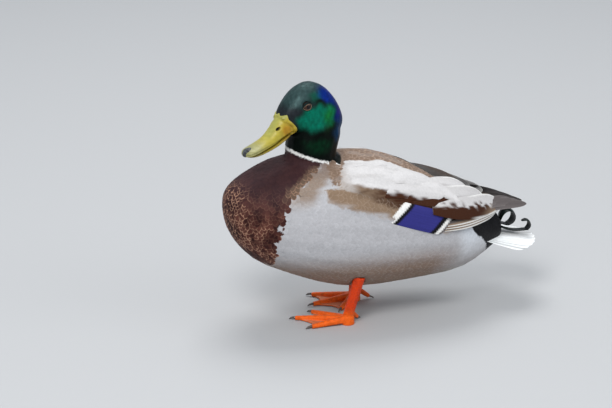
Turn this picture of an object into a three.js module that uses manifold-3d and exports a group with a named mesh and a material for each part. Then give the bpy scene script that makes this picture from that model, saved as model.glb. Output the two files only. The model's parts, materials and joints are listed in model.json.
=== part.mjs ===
// Mallard drake, standing, life size. Millimetres, +Z up.
// The bird faces -X. Its left side is towards -Y. The soles rest on the ground.

import * as THREE from 'three';
import { mergeVertices } from 'three/addons/utils/BufferGeometryUtils.js';
import Module from 'manifold-3d';

const wasm = await Module();
wasm.setup();

// ---------------------------------------------------------------- sizes

const GAP = 0.3;                    // clearance between neighbouring pieces
const COAT = 7;                     // depth of the feather shells over the trunk core
const BODY_SIDES = 24;              // facets round the trunk
const NECK_SIDES = 16;              // facets round the head and neck

const HEAD_TURN = 17;               // head turned to the bird's left, degrees
const NOTCH = new THREE.Vector3(-125.5, -15.3, 239.5);   // where the culmen meets the feathers
const COLLAR_CENTRE = new THREE.Vector3(-83, -2, 188.7);
const COLLAR_TILT = 19;             // degrees, front edge higher
const COLLAR_WIDTH = 3.2;

const EYE_DIAMETER = 10.5;
const EYE_BACK = 28;                // behind the notch
const EYE_HEIGHT = 248.3;
const EYE_OUT = 20.3;

// Feet: where the toes meet, where the leg leaves the belly, and each toe's turn and length.
const LEFT_FOOT = {
  joint: [-50.9, -33, 6],
  ankle: [-42, -46.5, 59],
  outer: [-2, 42],
  middle: [31, 58],
  inner: [58, 49],
  hind: [150, 17],
};
const RIGHT_FOOT = {
  joint: [-18.5, 33, 6],
  ankle: [-9.5, 46.5, 59],
  outer: [-34, 48],
  middle: [3, 49],
  inner: [47, 37],
  hind: [174, 18],
};
const SHANK_RADII = [6.6, 5.9, 5.7, 5.8, 5.6];
const THIGH_RADII = [16, 15.5, 13, 8.6];
const KNEE_RISE = 20;              // knee above the ankle, inside the belly
const WEB_THICKNESS = 1.4;

const NAIL_AHEAD = 35.6;            // start of the nail, ahead of the notch
const NAIL_HALF = 4.2;
const SCAPULAR_LIFT = 2.4;          // feather shells standing proud of the flank
const COVERT_LIFT = 1.2;
const SPECULUM_LIFT = 1;
const SPECULUM_FRONT = -9;
const MANTLE_FRONT = -66;
const MANTLE_END = 93.7;
const RUMP_FRONT = 94;
const UNDERTAIL_FRONT = 103;
const VANE_THICKNESS = 1.1;
const TAIL_PAIRS = 4;
const TAIL_SPREAD = 30;             // degrees from the middle to the outer feather
const TAIL_LENGTH = 77;
const TAIL_WIDTH = 21;

// Trunk: x, top, bottom, half width, height of the widest point.
const TRUNK = [
  [-180, 140, 132, 5, 136],
  [-178, 150, 121, 16, 136],
  [-174, 157, 108, 27, 135],
  [-167, 163.5, 96, 37, 133],
  [-157, 169.5, 84, 45.5, 130.5],
  [-144, 176, 73.5, 53.5, 127.5],
  [-128, 182.5, 65, 60.5, 123.5],
  [-109, 187.5, 56.5, 66, 120],
  [-88, 188, 47.5, 69.5, 117],
  [-62, 187.5, 39, 71, 114],
  [-36, 187, 34.5, 72, 111],
  [-10, 183.5, 34, 71.5, 108],
  [15, 174.5, 35, 69.5, 105],
  [38, 162.5, 36, 66, 101],
  [60, 148.5, 37, 61, 96],
  [82, 132.5, 39, 53, 90],
  [100, 119.5, 44, 42.5, 85],
  [115, 110.5, 51.5, 32.5, 81],
  [127, 105.5, 58.5, 25, 79],
  [136, 100.5, 63.5, 18.5, 79],
  [143, 90, 70, 9, 79],
];

// Head: distance behind the notch, top, bottom, half width, height of the widest point.
const HEAD = [
  [0.5, 238, 229, 5.5, 233],
  [4, 245, 224, 10, 234],
  [10, 253, 218.5, 14.2, 236],
  [18, 261.5, 214.5, 17.8, 238],
  [27, 267.5, 211, 20.4, 239],
  [37, 270.8, 208.5, 22.2, 239],
  [47, 270, 206.5, 23.2, 237],
  [57, 265.5, 205.5, 23.4, 234],
  [66, 257.5, 206, 22, 230],
  [74, 246.5, 208.5, 18, 226],
  [80, 234.5, 213, 11.5, 223],
  [83, 228, 218, 4, 222],
];

// Neck: height, distance of its centre behind the notch, half length, half width.
const NECK = [
  [164, 41, 33, 35],
  [176, 42.5, 30.5, 31],
  [189, 44.5, 28.6, 28.2],
  [200, 46.5, 29.6, 27.6],
  [210, 49, 30.8, 27],
  [220, 49.5, 29.5, 25],
  [231, 48, 24.5, 20],
  [242, 46, 15, 12],
];

// Bill: distance ahead of the notch, culmen, cutting edge, half width.
const UPPER_BILL = [
  [-18, 229, 222.8, 8.4],
  [-14, 234, 221.6, 11.6],
  [-9, 239, 219.4, 12],
  [-5, 240, 217.6, 11.8],
  [1, 235.4, 214.8, 11.2],
  [8, 226.4, 211.4, 10.7],
  [16, 219, 208.6, 10.3],
  [25, 213.9, 206.3, 10.8],
  [32.5, 210.8, 204.6, 11.3],
  [37.5, 209.4, 203.2, 10.2],
  [40.8, 208.2, 202.1, 7.9],
  [42.8, 206.4, 201.8, 4],
];
const LOWER_BILL = [
  [-15, 221.6, 217, 7],
  [-8, 218.8, 213.2, 9.4],
  [2, 214.1, 208.4, 9.9],
  [12, 209.6, 204.8, 9.5],
  [24, 206.2, 202, 9.6],
  [32, 204.8, 200.9, 9.3],
  [37.5, 203.8, 200.8, 7.2],
  [40.2, 203.2, 201, 3.6],
];

// Edges of the folded wing in side view, each as x, z.
const SCAPULAR_TOP = [
  [-68, 166], [-62, 178], [-50, 183.5], [-9, 180], [33, 161], [60, 144], [84, 126], [95, 112],
];
const SCAPULAR_FOOT = [[-68, 163.5], [-40, 154], [5, 140.5], [50, 131], [84, 119]];
const WING_FOOT = [[-88, 153], [-60, 141], [-20, 128], [2, 120], [31, 107.5], [50, 101], [64, 103]];
const BREAST_BACK = [
  [-68, 200], [-74, 187], [-113, 165], [-129, 145], [-137, 124], [-137.5, 100], [-139, 30],
];

// Long feathers of the folded wing, left side: root, bend, tip, width, lean in degrees.
const TERTIALS = [
  [[28, -63, 126], [88, -58, 122], [131, -20, 117], 26, 58],
  [[22, -60, 141], [74, -50, 139], [114, -17, 125], 26, 47],
  [[26, -46, 153], [66, -34, 150], [97, -13, 134], 24, 34],
];
const PRIMARIES = [
  [[52, -56, 114], [116, -34, 121], [173, -6, 104.5], 12, 50],
  [[50, -57, 117], [110, -36, 124.5], [162, -8, 109.5], 12, 46],
  [[48, -57, 120], [104, -38, 127.5], [151, -10, 114], 12, 42],
];

// ---------------------------------------------------------------- helpers

const radians = THREE.MathUtils.degToRad;

function smoothRow(table, t) {
  // Catmull-Rom blend of the rows of a table, t from 0 to 1.
  const last = table.length - 1;
  const place = Math.min(Math.max(t, 0), 1) * last;
  const i = Math.min(Math.floor(place), last - 1);
  const u = place - i;
  const before = table[Math.max(i - 1, 0)];
  const after = table[Math.min(i + 2, last)];
  return table[i].map((from, k) => {
    const to = table[i + 1][k];
    const leave = (to - before[k]) / 2;
    const arrive = (after[k] - from) / 2;
    const square = u * u;
    const cube = square * u;
    return (2 * cube - 3 * square + 1) * from + (cube - 2 * square + u) * leave
      + (3 * square - 2 * cube) * to + (cube - square) * arrive;
  });
}

function heightAt(line, x) {
  // Straight interpolation along a side-view edge.
  const end = line.length - 1;
  if (x <= line[0][0]) return line[0][1];
  if (x >= line[end][0]) return line[end][1];
  const i = line.findIndex((point) => point[0] > x) - 1;
  const share = (x - line[i][0]) / (line[i + 1][0] - line[i][0]);
  return THREE.MathUtils.lerp(line[i][1], line[i + 1][1], share);
}

function toSolid(geometry) {
  geometry.deleteAttribute('normal');
  geometry.deleteAttribute('uv');
  const merged = mergeVertices(geometry, 1e-4);
  return new wasm.Manifold(new wasm.Mesh({
    numProp: 3,
    vertProperties: new Float32Array(merged.attributes.position.array),
    triVerts: new Uint32Array(merged.index.array),
  }));
}

function loft(rings) {
  // Closed body through rings of equal length, with a fan at each end.
  const sides = rings[0].length;
  const points = rings.flat();
  const middle = (ring) => ring.reduce((sum, p) => sum.add(p), new THREE.Vector3()).divideScalar(sides);
  const first = points.push(middle(rings[0])) - 1;
  const last = points.push(middle(rings.at(-1))) - 1;
  const faces = [];
  for (let i = 0; i < rings.length - 1; i += 1) {
    for (let k = 0; k < sides; k += 1) {
      const next = (k + 1) % sides;
      const a = i * sides + k;
      const b = i * sides + next;
      faces.push(a, b, a + sides, b, b + sides, a + sides);
    }
  }
  const top = (rings.length - 1) * sides;
  for (let k = 0; k < sides; k += 1) {
    const next = (k + 1) % sides;
    faces.push(first, next, k);
    faces.push(last, top + k, top + next);
  }
  let volume = 0;
  for (let i = 0; i < faces.length; i += 3) {
    volume += points[faces[i]].dot(points[faces[i + 1]].clone().cross(points[faces[i + 2]]));
  }
  if (volume < 0) faces.reverse();
  const geometry = new THREE.BufferGeometry().setFromPoints(points);
  geometry.setIndex(faces);
  return toSolid(geometry);
}

function oval(sides, place, fullness = 1) {
  // Ring of points, place(across, up) with across and up from -1 to 1.
  const ring = [];
  for (let k = 0; k < sides; k += 1) {
    const angle = (k + 0.5) / sides * 2 * Math.PI;
    const across = Math.sign(Math.cos(angle)) * Math.abs(Math.cos(angle)) ** fullness;
    const up = Math.sign(Math.sin(angle)) * Math.abs(Math.sin(angle)) ** fullness;
    ring.push(place(across, up));
  }
  return ring;
}

function trunkSolid(grow, steps = 22, sides = BODY_SIDES) {
  const rings = [];
  for (let i = 0; i <= steps; i += 1) {
    const [x, top, bottom, half, wide] = smoothRow(TRUNK, i / steps);
    const shift = grow * (2 * i / steps - 1);
    rings.push(oval(sides, (across, up) => {
      const reach = up > 0 ? top + grow - wide : wide - bottom + grow;
      return new THREE.Vector3(x + shift, across * (half + grow), wide + up * reach);
    }, 0.94));
  }
  return loft(rings);
}

function headPoint(ahead, left, z) {
  // Point in the head's own frame: ahead of the notch, to its left, and height.
  const turn = radians(HEAD_TURN);
  return new THREE.Vector3(
    NOTCH.x - Math.cos(turn) * ahead + Math.sin(turn) * left,
    NOTCH.y - Math.sin(turn) * ahead - Math.cos(turn) * left,
    z,
  );
}

function headSolid(grow, steps = 13) {
  const rings = [];
  for (let i = 0; i <= steps; i += 1) {
    const [back, top, bottom, half, wide] = smoothRow(HEAD, i / steps);
    const shift = grow * (2 * i / steps - 1);
    rings.push(oval(NECK_SIDES, (across, up) => {
      const reach = up > 0 ? top + grow - wide : wide - bottom + grow;
      return headPoint(-back - shift, across * (half + grow), wide + up * reach);
    }));
  }
  return loft(rings);
}

function neckSolid(grow, steps = 7) {
  const rings = [];
  for (let i = 0; i <= steps; i += 1) {
    const [z, back, length, half] = smoothRow(NECK, i / steps);
    rings.push(oval(NECK_SIDES, (across, along) => (
      headPoint(-back + along * (length + grow), across * (half + grow), z)
    )));
  }
  return loft(rings);
}

function billSolid(table, grow, fullness, steps) {
  const rings = [];
  for (let i = 0; i <= steps; i += 1) {
    const [ahead, top, bottom, half] = smoothRow(table, i / steps);
    const shift = grow * (2 * i / steps - 1);
    const wide = bottom + (top - bottom) * 0.22;
    rings.push(oval(12, (across, up) => {
      const reach = up > 0 ? top + grow - wide : wide - bottom + grow;
      return headPoint(ahead + shift, across * (half + grow), wide + up * reach);
    }, fullness));
  }
  return loft(rings);
}

function slab(centre, normal, below, above, reach = 400) {
  // Flat block between two parallel planes.
  const block = new THREE.BoxGeometry(reach, reach, above - below);
  block.translate(0, 0, (above + below) / 2);
  block.applyQuaternion(new THREE.Quaternion().setFromUnitVectors(new THREE.Vector3(0, 0, 1), normal));
  block.translate(centre.x, centre.y, centre.z);
  return toSolid(block);
}

function sidePrism(outline, near, far) {
  // Outline in side view (x, z), drawn out across the bird from y near to y far.
  const shape = new THREE.Shape(outline.map(([x, z]) => new THREE.Vector2(x, z)));
  const block = new THREE.ExtrudeGeometry(shape, { depth: far - near, bevelEnabled: false });
  block.rotateX(Math.PI / 2);
  block.translate(0, far, 0);
  return toSolid(block);
}

function stretch(line, from, to, lift) {
  // The part of a side-view edge between two places, moved up by lift.
  const inner = line.filter(([x]) => x > from + 0.5 && x < to - 0.5).map(([x]) => x);
  return [from, ...inner, to].map((x) => [x, heightAt(line, x) + lift]);
}

function band(upper, lower, from, to, side, inset = GAP / 2) {
  // Prism between two side-view edges, on one side of the bird (-1 is left).
  const outline = [
    ...stretch(lower, from + inset, to - inset, inset),
    ...stretch(upper, from + inset, to - inset, -inset).reverse(),
  ];
  return side < 0 ? sidePrism(outline, -120, -1) : sidePrism(outline, 1, 120);
}

function vane({ root, bend, tip, across, width, thickness = 1, bow = 0.12, steps = 5, point = 0.25 }) {
  // Feather vane along a bent line, arched across, narrowing to a rounded tip.
  const line = new THREE.QuadraticBezierCurve3(root, bend, tip);
  const rings = [];
  for (let i = 0; i <= steps; i += 1) {
    const t = 1 - (1 - i / steps) ** 1.35;
    const middle = line.getPoint(t);
    const along = line.getTangent(t);
    const face = new THREE.Vector3().crossVectors(along, across).normalize();
    const side = new THREE.Vector3().crossVectors(face, along).normalize();
    const toTip = Math.min((1 - t) / point, 1);
    const taper = 0.72 + 0.28 * Math.sin(Math.min(t * 2.2, 1) * Math.PI / 2);
    const half = width / 2 * taper * Math.max(Math.sqrt(1 - (1 - toTip) ** 2), 0.12);
    const place = (share, lift) => middle.clone()
      .addScaledVector(side, share * half)
      .addScaledVector(face, lift - bow * half * share * share);
    rings.push([
      place(-1, thickness / 2), place(0, thickness / 2), place(1, thickness / 2),
      place(1, -thickness / 2), place(0, -thickness / 2), place(-1, -thickness / 2),
    ]);
  }
  return loft(rings);
}

function tapered(path, radii, sides = 10) {
  // Round bar along a smooth path, radius given at evenly spaced places.
  const line = new THREE.CatmullRomCurve3(path);
  const steps = radii.length;
  const rings = [];
  for (let i = 0; i <= steps; i += 1) {
    const t = i / steps;
    const middle = line.getPoint(t);
    const along = line.getTangent(t);
    const across = new THREE.Vector3(0, 1, 0).cross(along);
    if (across.length() < 0.1) across.set(1, 0, 0).cross(along);
    across.normalize();
    const up = new THREE.Vector3().crossVectors(along, across);
    const place = t * (radii.length - 1);
    const low = Math.min(Math.floor(place), radii.length - 2);
    const radius = THREE.MathUtils.lerp(radii[low], radii[low + 1], place - low);
    rings.push(oval(sides, (a, b) => middle.clone()
      .addScaledVector(across, a * radius)
      .addScaledVector(up, b * radius)));
  }
  return loft(rings);
}

function ball(centre, radius) {
  const geometry = new THREE.SphereGeometry(radius, 14, 9);
  geometry.translate(centre.x, centre.y, centre.z);
  return toSolid(geometry);
}

const group = new THREE.Group();
group.name = 'mallard_drake';

function addPart(name, solid, colour, roughness) {
  const mesh = solid.getMesh();
  const positions = new Float32Array(mesh.numVert * 3);
  for (let i = 0; i < mesh.numVert; i += 1) {
    for (let k = 0; k < 3; k += 1) positions[i * 3 + k] = mesh.vertProperties[i * mesh.numProp + k];
  }
  const geometry = new THREE.BufferGeometry();
  geometry.setAttribute('position', new THREE.BufferAttribute(positions, 3));
  geometry.setIndex(new THREE.BufferAttribute(new Uint32Array(mesh.triVerts), 1));
  geometry.computeVertexNormals();
  const material = new THREE.MeshStandardMaterial({ color: colour, roughness, metalness: 0 });
  const part = new THREE.Mesh(geometry, material);
  part.name = name;
  group.add(part);
}

// ---------------------------------------------------------------- colours

const CHESTNUT = '#5a3226';
const BELLY_GREY = '#b9b3ab';
const MANTLE_BROWN = '#6d5d50';
const SCAPULAR_GREY = '#c8c2b9';
const COVERT_BROWN = '#8f765f';
const SPECULUM_BLUE = '#2f2f7e';
const FLIGHT_BROWN = '#4a4038';
const TAIL_WHITE = '#e6e2da';
const BLACK = '#17161a';
const HEAD_GREEN = '#0f3f30';
const COLLAR_WHITE = '#eeeae2';
const BILL_YELLOW = '#b3a83c';
const BILL_EDGE = '#a3952f';
const NAIL_BLACK = '#2b2b25';
const EYE_BROWN = '#24150d';
const LEG_ORANGE = '#d9541e';
const CLAW_GREY = '#4c423b';

// ---------------------------------------------------------------- head and neck

const tilt = radians(COLLAR_TILT);
const collarNormal = new THREE.Vector3(Math.sin(tilt), 0, Math.cos(tilt));
const aboveCollar = slab(COLLAR_CENTRE, collarNormal, COLLAR_WIDTH / 2 + GAP, 200);
const withinCollar = slab(COLLAR_CENTRE, collarNormal, -COLLAR_WIDTH / 2, COLLAR_WIDTH / 2);
const belowCollar = slab(COLLAR_CENTRE, collarNormal, -200, -COLLAR_WIDTH / 2 - GAP);

const headShape = headSolid(0);
const headRoom = headSolid(GAP);
const neckShape = neckSolid(0);
const neckRoom = neckSolid(GAP);
const upperBill = billSolid(UPPER_BILL, 0, 1, 11);
const upperBillRoom = billSolid(UPPER_BILL, GAP, 1, 11);
const lowerBill = billSolid(LOWER_BILL, 0, 0.9, 7);
const lowerBillRoom = billSolid(LOWER_BILL, GAP, 0.9, 7);

const eyeCentres = [
  ['left', headPoint(-EYE_BACK, EYE_OUT - EYE_DIAMETER / 2, EYE_HEIGHT)],
  ['right', headPoint(-EYE_BACK, -EYE_OUT + EYE_DIAMETER / 2, EYE_HEIGHT)],
];


const gape = lowerBillRoom.add(upperBillRoom);
let head = headShape.subtract(neckRoom).subtract(gape);
eyeCentres.forEach(([, centre]) => {
  head = head.subtract(ball(centre, EYE_DIAMETER / 2 + GAP));
});
addPart('head', head, HEAD_GREEN, 0.45);
addPart('neck', neckShape.intersect(aboveCollar).subtract(gape), HEAD_GREEN, 0.5);
addPart('collar', neckSolid(0.7).intersect(withinCollar), COLLAR_WHITE, 0.8);
eyeCentres.forEach(([side, centre]) => {
  addPart(`eye_${side}`, ball(centre, EYE_DIAMETER / 2), EYE_BROWN, 0.08);
});

// The nail is the hard black end of the upper bill.
const billForward = headPoint(1, 0, 0).sub(headPoint(0, 0, 0));
const billLeft = headPoint(0, 1, 0).sub(headPoint(0, 0, 0));
const nailBlock = (grow) => slab(headPoint(NAIL_AHEAD, 0, 210), billForward, -grow, 60).intersect(
  slab(headPoint(0, 0, 210), billLeft, -NAIL_HALF - grow, NAIL_HALF + grow),
);
const upperBillAlone = upperBill.subtract(lowerBillRoom);
addPart('bill_upper', upperBillAlone.subtract(nailBlock(GAP)), BILL_YELLOW, 0.4);
addPart('bill_nail', upperBillAlone.intersect(nailBlock(0)), NAIL_BLACK, 0.35);
addPart('bill_lower', lowerBill, BILL_EDGE, 0.45);

// ---------------------------------------------------------------- trunk and its feather shells

const coreRoom = trunkSolid(GAP - COAT, 13, 16);
const surface = trunkSolid(0);
const surfaceRoom = trunkSolid(GAP);

const aboveSeat = slab(COLLAR_CENTRE, collarNormal, -COLLAR_WIDTH / 2 - GAP, 200);
const neckSeat = neckSolid(1).intersect(aboveSeat);

function shell(lift, zone) {
  return trunkSolid(lift).intersect(zone).subtract(coreRoom).subtract(neckSolid(1));
}

const bothSides = (outline) => sidePrism(outline, -120, 120);
const mantleOutline = (inset) => [
  ...stretch(SCAPULAR_TOP, MANTLE_FRONT + inset, MANTLE_END - inset, inset),
  [MANTLE_END - inset, 230], [MANTLE_FRONT + inset, 230],
];
const breastOutline = (inset) => [
  [-260, 230], [-260, 10],
  ...BREAST_BACK.toReversed().map(([x, z]) => [x - inset, z]),
  [BREAST_BACK[0][0] - inset, 230],
];

const zones = [];
for (const [side, sign] of [['left', -1], ['right', 1]]) {
  const scapulars = (inset) => band(SCAPULAR_TOP, SCAPULAR_FOOT, -68, 84, sign, inset);
  const coverts = (inset) => band(SCAPULAR_FOOT, WING_FOOT, -88, SPECULUM_FRONT, sign, inset);
  const speculum = (inset) => band(SCAPULAR_FOOT, WING_FOOT, SPECULUM_FRONT, 64, sign, inset);
  addPart(`scapulars_${side}`, shell(SCAPULAR_LIFT, scapulars(GAP / 2)), SCAPULAR_GREY, 0.85);
  addPart(`wing_coverts_${side}`, shell(COVERT_LIFT, coverts(GAP / 2)), COVERT_BROWN, 0.85);
  addPart(`speculum_${side}`, shell(SPECULUM_LIFT, speculum(GAP / 2)), SPECULUM_BLUE, 0.4);
  zones.push(scapulars(-GAP / 2), coverts(-GAP / 2), speculum(-GAP / 2));
}
addPart('mantle', shell(0.6, bothSides(mantleOutline(GAP / 2))), MANTLE_BROWN, 0.85);
zones.push(bothSides(mantleOutline(-GAP / 2)));

const core = trunkSolid(-COAT, 13, 16);
let body = zones.reduce((rest, zone) => rest.subtract(zone), surface).add(core);
body = body.add(neckShape.intersect(belowCollar)).subtract(neckSeat);
const breastZone = bothSides(breastOutline(0));
const breastRoom = bothSides(breastOutline(-GAP));
const rumpOutline = (inset) => [
  [RUMP_FRONT + inset, 95 + inset], [150, 74 + inset], [150, 200], [RUMP_FRONT + inset, 200],
];
const undertailOutline = (inset) => [
  [UNDERTAIL_FRONT + inset, 30], [150, 30],
  [150, 72 - inset], [UNDERTAIL_FRONT + 6 + inset, 70 - inset],
];
addPart('breast', body.intersect(breastZone), CHESTNUT, 0.85);
addPart('rump', body.intersect(bothSides(rumpOutline(0))), BLACK, 0.6);
addPart('undertail', body.intersect(bothSides(undertailOutline(0))), BLACK, 0.7);
let trunk = body.subtract(breastRoom);
trunk = trunk.subtract(bothSides(rumpOutline(-GAP))).subtract(bothSides(undertailOutline(-GAP)));

// ---------------------------------------------------------------- flight feathers and tail

const sideways = new THREE.Vector3(0, 1, 0);

function fan(list, sign, grow) {
  // Vanes named by their root, bend and tip on the left side, joined into one body.
  return list.map(([root, bend, tip, width, lean]) => {
    const flip = (p) => new THREE.Vector3(p[0], p[1] * -sign, p[2]);
    const across = new THREE.Vector3(0, Math.cos(radians(lean)), -sign * Math.sin(radians(lean)));
    return vane({
      root: flip(root), bend: flip(bend), tip: flip(tip), across, width: width + grow * 2,
      thickness: VANE_THICKNESS + grow * 2,
    });
  }).reduce((all, one) => all.add(one));
}

const tailVanes = (grow) => {
  const vanes = [];
  for (let i = -TAIL_PAIRS; i <= TAIL_PAIRS; i += 1) {
    const share = i / TAIL_PAIRS;
    const angle = radians(TAIL_SPREAD * share);
    const root = new THREE.Vector3(106, 13 * share, 80 - 1.6 * share * share);
    const length = TAIL_LENGTH - 20 * share * share;
    const tip = root.clone().setZ(66 - 0.8 * share * share);
    tip.x += length * Math.cos(angle);
    tip.y += length * Math.sin(angle);
    const bend = root.clone().lerp(tip, 0.5).add(new THREE.Vector3(0, 0, -1.5));
    vanes.push(vane({
      root, bend, tip, across: sideways, width: TAIL_WIDTH + grow * 2,
      thickness: VANE_THICKNESS + 0.5 + grow * 2, bow: 0.06, steps: 4,
    }));
  }
  return vanes.reduce((all, one) => all.add(one));
};
addPart('tail', tailVanes(0).subtract(surfaceRoom), TAIL_WHITE, 0.8);

for (const [side, sign] of [['left', -1], ['right', 1]]) {
  const tertials = fan(TERTIALS, sign, 0).subtract(trunkSolid(SCAPULAR_LIFT + GAP));
  addPart(`tertials_${side}`, tertials, SCAPULAR_GREY, 0.85);
  const primaries = fan(PRIMARIES, sign, 0)
    .subtract(trunkSolid(SCAPULAR_LIFT + GAP))
    .subtract(fan(TERTIALS, sign, GAP));
  addPart(`primaries_${side}`, primaries, FLIGHT_BROWN, 0.8);
}

function curl(centre, radius, from, to, lead, y, width) {
  // Feather rolled upwards: a lead along the tail, then an arc in side view.
  const path = lead.map(([x, z]) => new THREE.Vector3(x, y, z));
  for (let i = 0; i <= 12; i += 1) {
    const angle = radians(THREE.MathUtils.lerp(from, to, i / 12));
    const reach = new THREE.Vector3(Math.cos(angle), 0, Math.sin(angle)).multiplyScalar(radius);
    path.push(new THREE.Vector3(centre[0], y, centre[1]).add(reach));
  }
  const line = new THREE.CatmullRomCurve3(path);
  const rings = [];
  for (let i = 0; i <= 16; i += 1) {
    const t = i / 16;
    const middle = line.getPoint(t);
    const up = new THREE.Vector3().crossVectors(line.getTangent(t), sideways).normalize();
    const half = width / 2 * Math.sin(Math.PI * (0.2 + 0.72 * t)) + 0.4;
    const thick = 1.1 - 0.5 * t;
    rings.push([[1, 1], [1, -1], [-1, -1], [-1, 1]].map(([a, b]) => middle.clone()
      .addScaledVector(sideways, a * half).addScaledVector(up, b * thick)));
  }
  return loft(rings);
}
const firstCurl = curl([154, 88], 9.2, -95, 205, [[124, 97.5], [138, 85.5]], 4, 14);
const secondCurl = curl([170, 81], 6.4, -75, 130, [[126, 94], [142, 81.5], [157, 76]], -9.4, 10);
addPart('tail_curl_1', firstCurl.subtract(surfaceRoom), BLACK, 0.5);
addPart('tail_curl_2', secondCurl.subtract(surfaceRoom), BLACK, 0.5);

// ---------------------------------------------------------------- legs and feet

const aboveGround = slab(new THREE.Vector3(0, 0, 0), new THREE.Vector3(0, 0, 1), 0, 150);
for (const [side, plan, sign] of [['left', LEFT_FOOT, -1], ['right', RIGHT_FOOT, 1]]) {
  const joint = new THREE.Vector3(...plan.joint);
  const ankle = new THREE.Vector3(...plan.ankle);
  const heading = ([turn]) => (
    new THREE.Vector3(-Math.cos(radians(turn)), -Math.sin(radians(turn)) * sign, 0)
  );
  const shankPath = [ankle, ankle.clone().lerp(joint, 0.5), joint.clone().setZ(7)];
  const shank = (grow) => tapered(shankPath, SHANK_RADII.map((r) => r + grow), 10);
  const knee = new THREE.Vector3(ankle.x + 2, ankle.y * 0.86, ankle.z + KNEE_RISE);
  const hock = ankle.clone().lerp(joint, 0.05);
  const thighPath = [knee, ankle.clone().lerp(knee, 0.45), hock];
  const thigh = (grow) => tapered(thighPath, THIGH_RADII.map((r) => r + grow), 12);
  trunk = trunk.subtract(thigh(GAP)).subtract(shank(GAP));
  addPart(`thigh_${side}`, thigh(0).subtract(shank(GAP)), BELLY_GREY, 0.9);

  const toeNames = ['outer', 'middle', 'inner'];
  const tips = toeNames.map((toe) => (
    joint.clone().addScaledVector(heading(plan[toe]), plan[toe][1]).setZ(2.4)
  ));
  const toeBar = (tip) => {
    const knuckle = joint.clone().setZ(5.4);
    return tapered([knuckle, knuckle.clone().lerp(tip, 0.5).setZ(3.9), tip], [4.8, 3.6, 2.4], 8);
  };
  const webEdge = (a, b) => {
    const points = [];
    for (let i = 0; i <= 4; i += 1) {
      const sag = Math.sin(Math.PI * i / 4) * 0.16 + 0.03;
      points.push(a.clone().lerp(b, i / 4).lerp(joint, sag));
    }
    return points;
  };
  const webLine = [joint, ...webEdge(tips[0], tips[1]), ...webEdge(tips[1], tips[2])];
  const webShape = new THREE.Shape(webLine.map((p) => new THREE.Vector2(p.x, p.y)));
  const web = new THREE.ExtrudeGeometry(webShape, { depth: WEB_THICKNESS, bevelEnabled: false });
  web.translate(0, 0, 0.8);
  const sole = new THREE.CylinderGeometry(7.2, 7.4, 9, 12);
  sole.rotateX(Math.PI / 2);
  sole.translate(joint.x + 0.5, joint.y, 4.5);
  const pad = toSolid(web).add(toSolid(sole.clone()));
  let foot = tips.map(toeBar).reduce((all, one) => all.add(one), pad);
  foot = foot.intersect(aboveGround).subtract(shank(GAP));

  tips.forEach((tip, i) => {
    const away = tip.clone().sub(joint).setZ(0).normalize();
    const root = tip.clone().addScaledVector(away, -2.5).setZ(2.8);
    const middle = tip.clone().addScaledVector(away, 3).setZ(2.9);
    const end = tip.clone().addScaledVector(away, 7).setZ(0.9);
    const claw = (grow) => tapered([root, middle, end], [1.5 + grow, 1.45 + grow, 0.5 + grow], 6);
    foot = foot.subtract(claw(GAP));
    addPart(`claw_${toeNames[i]}_${side}`, claw(0).intersect(aboveGround), CLAW_GREY, 0.4);
  });

  const back = heading(plan.hind);
  const hindRoot = joint.clone().addScaledVector(back, 2).setZ(16);
  const hindTip = joint.clone().addScaledVector(back, plan.hind[1]).setZ(3.2);
  const hind = tapered([hindRoot, hindRoot.clone().lerp(hindTip, 0.55).setZ(8.6), hindTip], [3, 2.9, 2.1], 8);
  const hindClaw = (grow) => tapered([
    hindTip.clone().lerp(hindRoot, 0.08),
    hindTip.clone().addScaledVector(back, 3.4).setZ(2.2),
    hindTip.clone().addScaledVector(back, 5.6).setZ(0.7),
  ], [1.2 + grow, 1 + grow, 0.5 + grow], 6);
  addPart(`foot_${side}`, foot, LEG_ORANGE, 0.6);
  addPart(`shank_${side}`, shank(0).intersect(aboveGround), LEG_ORANGE, 0.5);
  const hindRoom = toSolid(sole).add(shank(GAP));
  addPart(`hind_toe_${side}`, hind.subtract(hindRoom).subtract(hindClaw(GAP)), LEG_ORANGE, 0.6);
  addPart(`claw_hind_${side}`, hindClaw(0).intersect(aboveGround), CLAW_GREY, 0.4);
}
addPart('trunk', trunk, BELLY_GREY, 0.9);

// ---------------------------------------------------------------- place on the ground, centred

const box = new THREE.Box3().setFromObject(group);
const centre = box.getCenter(new THREE.Vector3());
group.children.forEach((part) => part.geometry.translate(-centre.x, -centre.y, -box.min.z));

export default group;
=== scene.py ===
"""Mallard drake, standing: the visible model, built round its solids.

The bird faces -X and its left side is towards -Y. Tables of places are in mm, meshes in metres.
"""

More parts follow.
